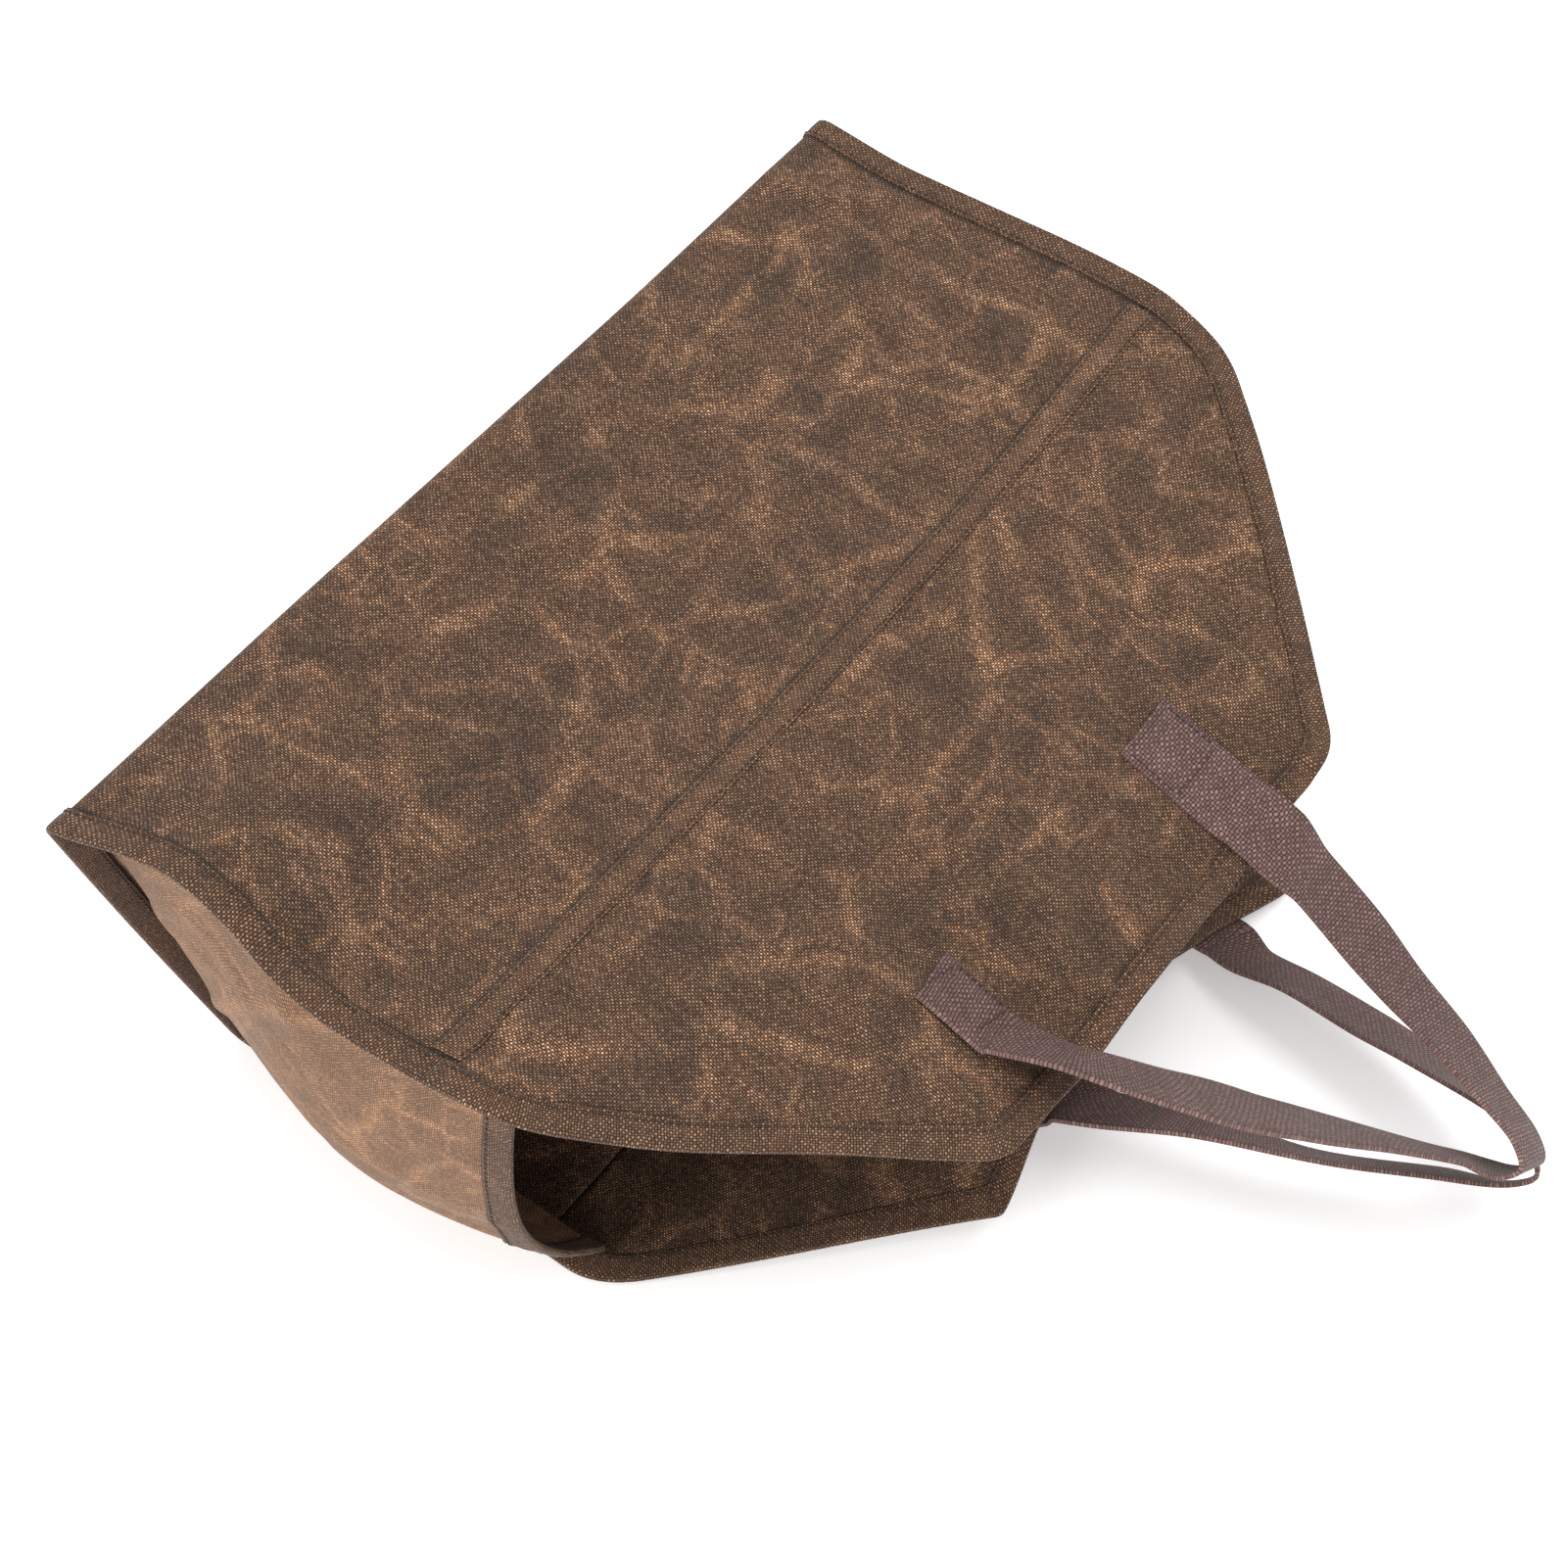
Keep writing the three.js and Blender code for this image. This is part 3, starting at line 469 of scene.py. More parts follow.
@dataclass
class Cloth:
    """Makes woven pieces: a flat grid of cloth, laid where a surface puts it."""

    name: str
    columns: Array
    rows: Array
    place: Callable[[Array, Array], Array]
    flat: Callable[[Array, Array], tuple[Array, Array]]
    thickness: float
    material: bpy.types.Material
    marks: dict[str, Callable[[Array, Array], Array]] = field(default_factory=dict)
    rounded: float = 0.0

    def build(self) -> bpy.types.Object:
        """Lays the grid out and gives it its thickness.

        Returns:
            The piece, with its flat cut in metres as its UV map.
        """
        bm = bmesh.new()
        bmesh.ops.create_grid(
            bm,
            x_segments=len(self.columns) - 1,
            y_segments=len(self.rows) - 1,
            size=0.5,
            calc_uvs=True,
        )
        mesh = bpy.data.meshes.new(self.name)
        bm.to_mesh(mesh)
        bm.free()
        raw = np.empty(len(mesh.vertices) * 3)
        mesh.vertices.foreach_get("co", raw)
        grid = raw.reshape(-1, 3)[:, :2] + 0.5
        column = np.interp(grid[:, 0], np.linspace(0, 1, len(self.columns)), self.columns)
        row = np.interp(grid[:, 1], np.linspace(0, 1, len(self.rows)), self.rows)
        mesh.vertices.foreach_set("co", to_frame(self.place(column, row)).ravel())
        corners = np.empty(len(mesh.loops), int)
        mesh.loops.foreach_get("vertex_index", corners)
        flat_u, flat_v = self.flat(column, row)
        flat = np.stack([flat_u, flat_v], axis=-1) * MM
        layer = mesh.uv_layers.active or mesh.uv_layers.new(name="UVMap")
        layer.data.foreach_set("uv", flat[corners].ravel())
        for mark, paint in self.marks.items():
            mesh.attributes.new(mark, "FLOAT", "POINT").data.foreach_set("value", paint(column, row))
        mesh.polygons.foreach_set("use_smooth", np.ones(len(mesh.polygons), bool))
        mesh.update()
        piece = bpy.data.objects.new(self.name, mesh)
        bpy.context.scene.collection.objects.link(piece)
        piece.data.materials.append(self.material)
        thick = piece.modifiers.new("Thickness", "SOLIDIFY")
        thick.thickness = self.thickness * MM
        thick.offset = 0
        if self.rounded:
            edge = piece.modifiers.new("Selvedge", "BEVEL")
            edge.width = self.rounded * MM
            edge.segments = 2
            edge.limit_method = "ANGLE"
            edge.harden_normals = False
        return piece


def steps(start: float, end: float, pitch: float) -> Array:
    """Even stations from start to end, no further apart than pitch."""
    return np.linspace(start, end, max(int(math.ceil(abs(end - start) / pitch)), 1) + 1)


def painted_shade_line(distance: Array, middle: float, width: float, depth: float) -> Array:
    """How dark a line of painted shade is at a distance from the canvas's edge.

    Args:
        distance: distances from the edge.
        middle: where the line is darkest.
        width: how far its shade reaches.
        depth: how dark it is in the middle.

    Returns:
        The shade at each distance.
    """
    return depth * np.exp(-(((distance - middle) / width) ** 2))


@dataclass
class Panels:
    """The carrier's canvas walls: the body's strip, the two top panels and the seam strips."""

    # Painted shade: where the dark lines lie beside the bindings' inner edges and the seam strip's lower
    # edge, and the extra rows that carry the seam's line
    BINDING_SHADE_LINE = 13.4
    SEAM_SHADE_LINE = 7.4
    SEAM_SHADE_ROWS = (5.5, 7.5, 9.5)

    shape: BagShape
    canvas: bpy.types.Material
    strip: bpy.types.Material
    pitch: float = 3.1

    def binding_painted_shade(self, distance: Array) -> Array:
        """The painted shade along a binding's inner edge, where the tape's edge casts its shadow."""
        return painted_shade_line(distance, self.BINDING_SHADE_LINE, 1.5, 0.7)

    def seam_painted_shade(self, along: Array) -> Array:
        """The painted shade along a seam strip's lower edge, where its folded edge casts a shadow."""
        return painted_shade_line(along, self.SEAM_SHADE_LINE, 1.3, 0.75)

    def body(self) -> bpy.types.Object:
        """The body's one strip of canvas."""
        cut = self.shape.cut
        binding_shade_across = cut.length / 2 - self.BINDING_SHADE_LINE

        def shade(across: Array, along: Array) -> Array:
            """The painted shade beside the front seam and the bindings."""
            return np.maximum(self.seam_painted_shade(along), self.binding_painted_shade(cut.length / 2 - np.abs(across)))

        piece = Cloth(
            "Body_Canvas",
            np.union1d(steps(-cut.length / 2, cut.length / 2, self.pitch), [-binding_shade_across, binding_shade_across]),
            np.union1d(steps(0.3, cut.chain - 0.3, self.pitch), self.SEAM_SHADE_ROWS),
            self.shape.body,
            lambda across, along: (across, along),
            cut.canvas,
            self.canvas,
            marks={
                "crease": lambda across, along: ridges(FRONT_RIDGES, across, cut.seam_height - along)[1],
                "shade": shade,
            },
        ).build()
        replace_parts(piece, "body_canvas")
        return piece

    def top_panel(self, front: bool) -> bpy.types.Object:
        """A tapered top panel, from its cross seam to the mouth."""
        cut = self.shape.cut
        surface = self.shape.front if front else self.shape.back
        near = cut.mouth_corner if front else cut.end_corner

        def across(side: Array, height: Array) -> Array:
            """Distance from the panel's middle, for a share of its half width."""
            near_width = self.shape.panel_half_width(height, near)
            far_width = self.shape.panel_half_width(height, cut.mouth_corner)
            return side * np.where(side > 0, near_width, far_width)

        def crease(side: Array, height: Array) -> Array:
            """How rubbed the panel's creases are."""
            return ridges(FRONT_RIDGES if front else (), across(side, height), height)[1]

        def shade(side: Array, height: Array) -> Array:
            """The painted shade beside the top binding."""
            inward = np.abs(across(np.sign(side), height)) - np.abs(across(side, height))
            return self.binding_painted_shade(np.minimum(inward, cut.panel_height - height))

        heights = steps(cut.seam_height + 0.3, cut.panel_height - cut.tape_width, self.pitch)
        corner = cut.panel_height - cut.tape_width * np.cos(np.linspace(0, 1, 9)[1:] * np.pi / 2)
        rows = np.concatenate([heights, corner])
        piece = Cloth(
            "Front_Top_Panel" if front else "Back_Top_Panel",
            np.linspace(-1, 1, int(cut.length / self.pitch)),
            rows,
            lambda side, height: surface(across(side, height), height),
            lambda side, height: (across(side, height), height + (0 if front else cut.chain)),
            cut.canvas,
            self.canvas,
            marks={"crease": crease, "shade": shade},
        ).build()
        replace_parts(piece, "front_top_panel" if front else "back_top_panel")
        return piece

    def seam_strip(self, front: bool) -> bpy.types.Object:
        """The strip of canvas sewn over a cross seam."""
        cut = self.shape.cut
        surface = self.shape.front if front else self.shape.back
        reach = cut.length / 2 - cut.seam_in
        half = cut.strip_width / 2
        outward = 1 if front else -1

        def place(across: Array, offset: Array) -> Array:
            """A point of the strip, which thins towards its edges."""
            edge = smoothstep(np.abs(offset), half - 2.0, half)
            lift = cut.canvas / 2 + cut.tape_gap + cut.tape / 2 - 0.2 * edge
            return off_surface(surface, across, cut.seam_height + offset, outward * lift)

        piece = Cloth(
            "Front_Seam_Strip" if front else "Back_Seam_Strip",
            steps(-reach, reach, self.pitch),
            np.linspace(-half, half, 13),
            place,
            lambda across, offset: (across, offset + 31.0),
            cut.tape,
            self.strip,
        ).build()
        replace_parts(piece, "front_seam_strip" if front else "back_seam_strip")
        return piece

    def build(self) -> list[bpy.types.Object]:
        """All the canvas walls."""
        made = [self.body()]
        for front in (True, False):
            made += [self.top_panel(front), self.seam_strip(front)]
        return made


@dataclass
class Gussets:
    """The end gussets, sewn in between the folds of the body."""

    shape: BagShape
    canvas: bpy.types.Material
    pitch: float = 3.6

    def build(self) -> list[bpy.types.Object]:
        """Both gussets."""
        cut = self.shape.cut
        made = []
        for name, node, end in (("Near_Gusset", "near_gusset", 1), ("Far_Gusset", "far_gusset", -1)):
            piece = Cloth(
                name,
                steps(0.0, 1.0, self.pitch / cut.depth),
                steps(0.0, cut.gusset_height, self.pitch),
                lambda share, height, end=end: self.shape.gusset(end, share, height),
                lambda share, height: (share * cut.depth, height),
                cut.canvas,
                self.canvas,
                marks={"crease": lambda share, height: ridges(GUSSET_RIDGES, share * cut.depth, height)[1]},
            ).build()
            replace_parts(piece, node)
            made.append(piece)
        return made


@dataclass
class Bindings:
    """Tape folded over the raw edges and topstitched near its inner edges."""

    shape: BagShape
    tape: bpy.types.Material
    pitch: float = 4.0

    def section(self) -> tuple[Array, Array]:
        """Section of the folded tape, from leg to leg round the edge.

        Returns:
            How far inward of the raw edge each point lies, and how far off the canvas's middle.
        """
        cut = self.shape.cut
        off = cut.canvas / 2 + cut.tape_gap + cut.tape / 2
        leg = np.array([cut.tape_width, cut.tape_width - 1.2, cut.tape_width - 2.6, 7.0, 4.0, 1.5])
        leg_off = off + np.array([0.1, -0.12, -0.15, 0.12, 0.15, 0.08])
        turn = np.linspace(np.pi / 2, -np.pi / 2, 7)
        inward = np.concatenate([leg, -off * 0.9 * np.cos(turn), leg[::-1]])
        offs = np.concatenate([leg_off, off * np.sin(turn), -leg_off[::-1]])
        return inward, offs

    def fold(
        self,
        name: str,
        stations: Array,
        surface: Surface,
        flat_point: Callable[[Array, Array], tuple[Array, Array]],
    ) -> bpy.types.Object:
        """Folds one length of tape over an edge.

        Args:
            name: name of the piece.
            stations: distances along the edge.
            surface: middle of the canvas that it binds.
            flat_point: place in the flat cut of a point inward of the edge at a station.

        Returns:
            The folded tape.
        """
        cut = self.shape.cut
        inward, offs = self.section()
        around = np.concatenate([[0], np.cumsum(np.hypot(np.diff(inward), np.diff(offs)))])

        def place(station: Array, across: Array) -> Array:
            """A point of the folded tape, puckered a little by its stitches."""
            pucker = 0.12 * np.sin(station * 0.71 + 1.3 * np.sin(station * 0.113))
            flat = flat_point(station, np.interp(across, around, inward))
            return off_surface(surface, *flat, np.interp(across, around, offs) * (1 + pucker / 3))

        return Cloth(
            name,
            stations,
            around,
            place,
            lambda station, across: (station, across + 7.3),
            cut.tape,
            self.tape,
        ).build()

    def side(self, end: int) -> bpy.types.Object:
        """Binding of one long edge of the body."""
        cut = self.shape.cut

        def flat_point(station: Array, inward: Array) -> tuple[Array, Array]:
            """A point of the body in the flat, so far in from its edge."""
            return end * (cut.length / 2 - inward), station

        near = end > 0
        piece = self.fold(
            "Near_Side_Binding" if near else "Far_Side_Binding",
            steps(0.0, cut.chain, self.pitch),
            self.shape.body,
            flat_point,
        )
        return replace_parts(piece, "near_side_binding" if near else "far_side_binding")

    def top_edge(self, near_radius: float) -> tuple[Array, Array, Array]:
        """Edge of a top panel in the flat, from the near seam round the mouth to the far seam.

        Args:
            near_radius: radius of the near mouth corner.

        Returns:
            Distances along the edge, the edge's points, and the outward direction at each.
        """
        cut = self.shape.cut
        angle = math.atan(cut.taper)

        def climb(end: int, radius: float) -> list[tuple[float, float, float, float]]:
            """The straight tapered edge up to a mouth corner."""
            _, start = self.shape.corner(radius)
            heights = steps(cut.seam_height, start, self.pitch)
            width = self.shape.taper_half_width(heights)
            slope = self.shape.taper_half_width(heights - 0.5) - self.shape.taper_half_width(heights + 0.5)
            size = np.hypot(1, slope)
            return [(end * w, h, end / s, t / s) for w, h, s, t in zip(width, heights, size, slope)]

        def turn(end: int, radius: float) -> list[tuple[float, float, float, float]]:
            """The rounded mouth corner."""
            centre, _ = self.shape.corner(radius)
            angles = np.linspace(angle, np.pi / 2, max(int(radius / 2.2), 6) + 1)[1:]
            return [
                (
                    end * (centre + radius * math.cos(t)),
                    cut.panel_height - radius + radius * math.sin(t),
                    end * math.cos(t),
                    math.sin(t),
                )
                for t in angles
            ]

        near, far = near_radius, cut.mouth_corner
        mouth = steps(self.shape.corner(near)[0], -self.shape.corner(far)[0], self.pitch)[1:-1]
        edge = climb(1, near) + turn(1, near) + [(x, cut.panel_height, 0.0, 1.0) for x in mouth]
        edge += turn(-1, far)[::-1] + climb(-1, far)[::-1]
        table = np.array(edge)
        run = np.hypot(np.diff(table[:, 0]), np.diff(table[:, 1]))
        return np.concatenate([[0], np.cumsum(run)]), table[:, :2], table[:, 2:]

    def top(self, front: bool) -> bpy.types.Object:
        """Binding of a top panel's free edge."""
        cut = self.shape.cut
        run, edge, out = self.top_edge(cut.mouth_corner if front else cut.end_corner)

        def flat_point(station: Array, inward: Array) -> tuple[Array, Array]:
            """A point of the panel in the flat, so far in from its edge."""
            at = [np.interp(station, run, values) for values in (*edge.T, *out.T)]
            size = np.hypot(at[2], at[3])
            return at[0] - inward * at[2] / size, at[1] - inward * at[3] / size

        piece = self.fold(
            "Front_Top_Binding" if front else "Back_Top_Binding",
            run,
            self.shape.front if front else self.shape.back,
            flat_point,
        )
        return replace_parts(piece, "front_top_binding" if front else "back_top_binding")

    def gusset(self, end: int) -> bpy.types.Object:
        """Binding of a gusset's free edge."""
        cut = self.shape.cut
        near = end > 0

        def surface(distance: Array, height: Array) -> Array:
            """The gusset, by the distance along its bottom edge."""
            return self.shape.gusset(end, distance / cut.depth, height)

        piece = self.fold(
            "Near_Gusset_Binding" if near else "Far_Gusset_Binding",
            steps(3.0, cut.depth - 3.0, self.pitch),
            surface,
            lambda station, inward: (station, cut.gusset_height - inward),
        )
        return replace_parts(piece, "near_gusset_binding" if near else "far_gusset_binding")

    def build(self) -> list[bpy.types.Object]:
        """All six bindings."""
        made = [self.side(1), self.side(-1), self.top(True), self.top(False), self.gusset(1), self.gusset(-1)]
        return made


def spline(controls: Array, count: int) -> Array:
    """Points of a centripetal curve through controls, evenly many between each pair.

    Args:
        controls: points that the curve passes through.
        count: steps between one control and the next.

    Returns:
        The curve's points, from the first control to the last.
    """
    ends = [2 * controls[0] - controls[1], *controls, 2 * controls[-1] - controls[-2]]
    run = []
    for i in range(len(controls) - 1):
        p0, p1, p2, p3 = ends[i : i + 4]
        d0, d1, d2 = (max(np.sqrt(np.linalg.norm(b - a)), 1e-3) for a, b in ((p0, p1), (p1, p2), (p2, p3)))
        m1 = ((p1 - p0) / d0 - (p2 - p0) / (d0 + d1) + (p2 - p1) / d1) * d1
        m2 = ((p2 - p1) / d1 - (p3 - p1) / (d1 + d2) + (p3 - p2) / d2) * d1
        share = (np.arange(count) / count)[:, None]
        run.append(
            p1
            + m1 * share
            + (-3 * p1 + 3 * p2 - 2 * m1 - m2) * share**2
            + (2 * p1 - 2 * p2 + m1 + m2) * share**3
        )
    return np.concatenate([*run, controls[-1:]])


@dataclass
class Handles:
    """Two loops of webbing, each sewn flat to a panel at both ends."""

    shape: BagShape
    webbing: bpy.types.Material
    tip_radius: float = 9.0
    loop_turns: tuple[float, ...] = (0.05, 0.5, 0.95)

    def tail(self, surface: Surface, outward: int, across: float, end: float) -> tuple[Array, Array]:
        """The sewn end of a handle: its middle line and the directions across it."""
        cut = self.shape.cut
        heights = steps(cut.panel_height - cut.handle_tail, end, 4.0)
        over = smoothstep(heights, cut.panel_height - 2 * cut.tape_width, cut.panel_height - cut.tape_width)
        off = cut.canvas / 2 + 0.4 + cut.webbing / 2 + over * 2.2
        a = np.full_like(heights, across)
        middle = off_surface(surface, a, heights, outward * off)
        width = surface(a + 1, heights) - surface(a - 1, heights)
        return middle, width / np.linalg.norm(width, axis=1, keepdims=True)

    def leg(self, leg: Leg, start: Array, width: Array, end: Array, across: Array) -> tuple[list, list]:
        """Controls of a free run from the tail to the loop: places and widths."""
        places, widths = [], []
        for at, aside, rise, turn in leg.value[1]:
            places.append(start + (end - start) * at + np.array([aside, 0, rise]))
            widths.append(width + (across - width) * turn)
        return places, widths

    def line(self, front: bool) -> tuple[Array, Array]:
        """Middle line of a whole handle, and the direction across it at each point."""
        cut = self.shape.cut
        surface, outward = (self.shape.front, 1) if front else (self.shape.back, -1)
        shift = cut.front_shift if front else cut.back_shift
        near_leg, far_leg = (Leg.FRONT_NEAR, Leg.FRONT_FAR) if front else (Leg.BACK_NEAR, Leg.BACK_FAR)
        near = self.tail(surface, outward, cut.handle_spacing / 2 + shift, near_leg.value[0])
        far = self.tail(surface, outward, -cut.handle_spacing / 2 + shift, far_leg.value[0])
        centre, across = (np.array(part) for part in (Tip.FRONT if front else Tip.BACK).value)
        across = across / np.linalg.norm(across)
        outwards = np.array([0.0, 1.0, 0.0]) - across * across[1]
        outwards = outwards / np.linalg.norm(outwards)
        sideways = np.cross(outwards, across)
        turns = [math.pi * turn for turn in self.loop_turns]
        loop = [
            centre + (sideways * math.cos(turn) + outwards * math.sin(turn)) * self.tip_radius
            for turn in turns
        ]
        near_run = self.leg(near_leg, near[0][-1], near[1][-1], loop[0], across)
        far_run = self.leg(far_leg, far[0][-1], far[1][-1], loop[-1], across)
        places = [*near[0][-2:], *near_run[0], *loop, *far_run[0][::-1], *far[0][-2:][::-1]]
        widths = [*near[1][-2:], *near_run[1], *[across] * len(loop), *far_run[1][::-1], *far[1][-2:][::-1]]
        count = 8
        free = spline(np.array(places), count)[count:-count]
        turned = spline(np.array(widths), count)[count:-count]
        middle = np.concatenate([near[0][:-1], free, far[0][:-1][::-1]])
        width = np.concatenate([near[1][:-1], turned, far[1][:-1][::-1]])
        tangent = np.gradient(middle, axis=0)
        tangent /= np.linalg.norm(tangent, axis=1, keepdims=True)
        width -= tangent * np.sum(width * tangent, axis=1, keepdims=True)
        return middle, width / np.linalg.norm(width, axis=1, keepdims=True)

    def handle(self, front: bool) -> bpy.types.Object:
        """One length of webbing."""
        cut = self.shape.cut
        middle, width = self.line(front)
        run = np.concatenate([[0], np.cumsum(np.linalg.norm(np.diff(middle, axis=0), axis=1))])

        def place(station: Array, across: Array) -> Array:
            """A point of the webbing."""
            at = points(*(np.interp(station, run, middle[:, i]) for i in range(3)))
            side = points(*(np.interp(station, run, width[:, i]) for i in range(3)))
            return at + side * across[..., None]

        half = cut.webbing_width / 2
        piece = Cloth(
            "Front_Handle" if front else "Back_Handle",
            run,
            np.linspace(-half, half, 13),
            place,
            lambda station, across: (station, across),
            cut.webbing,
            self.webbing,
            rounded=0.7,
        ).build()
        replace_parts(piece, "front_handle" if front else "back_handle")
        piece["length"] = float(run[-1])
        log.info("%s is %.0f mm long", piece.name, run[-1])
        return piece

    def build(self) -> list[bpy.types.Object]:
        """Both handles."""
        return [self.handle(True), self.handle(False)]


@dataclass
class Stitching:
    """Rows of thread: every stitch is a small rounded grain lying on the cloth."""

    PROBE = 0.4
    RAISED = 0.15
    SUNK = 0.05

    shape: BagShape
    bindings: Bindings
    thread: bpy.types.Material
    webbing_thread: bpy.types.Material
    pitch: float = 3.9
    stitch: float = 2.7
    thick: float = 0.58
    in_from_edge: float = 10.4
    batch: int = 24

    def row(
        self, name: str, rows: Sequence[Array], lines: Sequence[Array], material: bpy.types.Material
    ) -> bpy.types.Object:
        """One object of stitches.

        Args:
            name: name of the piece.
            rows: points along each row, close together.
            lines: outward directions at those points.
            material: the thread.

        Returns:
            The stitches as one mesh.
        """
        places = [place for path, outward in zip(rows, lines) for place in self.places(path, outward)]
        whole = bmesh.new()
        for first in range(0, len(places), self.batch):
            bm = bmesh.new()
            for matrix in places[first : first + self.batch]:
                bmesh.ops.create_uvsphere(bm, u_segments=6, v_segments=5, radius=1.0, matrix=matrix)
            bmesh.ops.recalc_face_normals(bm, faces=bm.faces)
            part = bpy.data.meshes.new("Stitch_Batch")
            bm.to_mesh(part)
            bm.free()
            whole.from_mesh(part)
            bpy.data.meshes.remove(part)
        mesh = bpy.data.meshes.new(name)
        whole.to_mesh(mesh)
        whole.free()
        mesh.polygons.foreach_set("use_smooth", np.ones(len(mesh.polygons), bool))
        piece = bpy.data.objects.new(name, mesh)
        bpy.context.scene.collection.objects.link(piece)
        piece.data.materials.append(material)
        return piece

    def places(self, path: Array, outward: Array) -> list[Matrix]:
        """Where each stitch of a row lies, how it is turned and how large it is."""
        run = np.concatenate([[0], np.cumsum(np.linalg.norm(np.diff(path, axis=0), axis=1))])
        made = []
        for at in np.arange(self.pitch, run[-1] - self.pitch / 2, self.pitch):
            before, middle, after = (
                np.array([np.interp(at + step, run, path[:, i]) for i in range(3)])
                for step in (-self.PROBE, 0.0, self.PROBE)
            )
            along = (after - before) / np.linalg.norm(after - before)
            side = np.cross([np.interp(at, run, outward[:, i]) for i in range(3)], along)
            side = side / np.linalg.norm(side)
            up = np.cross(along, side)
            centre = to_frame(middle + up * self.thick * self.RAISED)
            axes = np.stack([up * self.thick, side * self.thick, along * self.stitch / 2], axis=1) * MM
            made.append(Matrix([[*axes[i], centre[i]] for i in range(3)] + [[0, 0, 0, 1]]))
        return made

    def on(self, surface: Surface, a: Array, b: Array, off: float) -> tuple[Array, Array]:
        """A row's points on one face of a cloth surface, and its outward directions."""
        return off_surface(surface, a, b, off), surface_normal(surface, a, b) * math.copysign(1, off)

    def both_faces(self, name: str, surface: Surface, a: Array, b: Array) -> bpy.types.Object:
        """A row through a folded tape, seen on both of its faces."""
        cut = self.shape.cut
        off = cut.canvas / 2 + cut.tape_gap + cut.tape - self.SUNK
        faces = [self.on(surface, a, b, side * off) for side in (1, -1)]
        return self.row(name, [f[0] for f in faces], [f[1] for f in faces], self.thread)

    def tape_rows(self) -> list[bpy.types.Object]:
        """Rows along the inner edge of every binding."""
        cut, made = self.shape.cut, []
        for end, side in ((1, "Near"), (-1, "Far")):
            along = steps(2.0, cut.chain - 2.0, 3.0)
            across = np.full_like(along, end * (cut.length / 2 - self.in_from_edge))
            made.append(self.both_faces(f"{side}_Side_Stitches", self.shape.body, across, along))
            share = steps(6.0, cut.depth - 6.0, 3.0)
            height = np.full_like(share, cut.gusset_height - self.in_from_edge)

            def surface(distance: Array, level: Array, end: int = end) -> Array:
                """The gusset, by the distance along its bottom edge."""
                return self.shape.gusset(end, distance / cut.depth, level)

            made.append(self.both_faces(f"{side}_Gusset_Stitches", surface, share, height))
        for front, side in ((True, "Front"), (False, "Back")):
            _, edge, out = self.bindings.top_edge(cut.mouth_corner if front else cut.end_corner)
            out = out / np.linalg.norm(out, axis=1, keepdims=True)
            row = edge - out * self.in_from_edge
            surface = self.shape.front if front else self.shape.back
            made.append(self.both_faces(f"{side}_Top_Stitches", surface, row[:, 0], row[:, 1]))
        return made

    def strip_rows(self) -> list[bpy.types.Object]:
        """Two rows along each seam strip."""
        cut, made = self.shape.cut, []
        across = steps(cut.seam_in - cut.length / 2, cut.length / 2 - cut.seam_in, 3.0)
        off = cut.canvas / 2 + cut.tape_gap + cut.tape - self.SUNK
        for front, side in ((True, "Front"), (False, "Back")):
            surface, outward = (self.shape.front, 1) if front else (self.shape.back, -1)
            rows = [
                self.on(surface, across, np.full_like(across, cut.seam_height + edge), outward * off)
                for edge in (1.8 - cut.strip_width / 2, cut.strip_width / 2 - 1.8)
            ]
            paths, lines = [row[0] for row in rows], [row[1] for row in rows]
            made.append(self.row(f"{side}_Strip_Stitches", paths, lines, self.thread))
        return made

    def tail_rows(self) -> list[bpy.types.Object]:
        """Rows that sew the handles' ends down: along both edges, at the end and across."""
        cut, made = self.shape.cut, []
        sewn, inset = 34.0, 3.2
        start = cut.panel_height - cut.handle_tail
        off = cut.canvas / 2 + 0.4 + cut.webbing
        for front, side in ((True, "Front"), (False, "Back")):
            surface, outward = (self.shape.front, 1) if front else (self.shape.back, -1)
            shift = cut.front_shift if front else cut.back_shift
            rows = []
            for end in (1, -1):
                middle = end * cut.handle_spacing / 2 + shift
                half = cut.webbing_width / 2 - inset
                heights, widths = steps(start + 2, start + sewn, 2.0), steps(-half, half, 2.0)
                for a in (-half, half):
                    rows.append(self.on(surface, np.full_like(heights, middle + a), heights, outward * off))
                for b in (start + 3, start + sewn):
                    rows.append(self.on(surface, middle + widths, np.full_like(widths, b), outward * off))
            name = f"{side}_Handle_Stitches"
            made.append(self.row(name, [r[0] for r in rows], [r[1] for r in rows], self.webbing_thread))
        return made

    def build(self) -> list[bpy.types.Object]:
        """All the stitching."""
        made = self.tape_rows(), self.strip_rows(), self.tail_rows()
        for pieces, slot in zip(made, ("tape", "canvas", "webbing")):
            for piece in pieces:
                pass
        return [piece for pieces in made for piece in pieces]


def paint(code: str) -> tuple[float, float, float, float]:
    """A linear colour from the six figures of a paint code."""
    parts = [int(code[i : i + 2], 16) / 255 for i in (0, 2, 4)]
    linear = [c / 12.92 if c <= 0.04045 else ((c + 0.055) / 1.055) ** 2.4 for c in parts]
    return (*linear, 1.0)


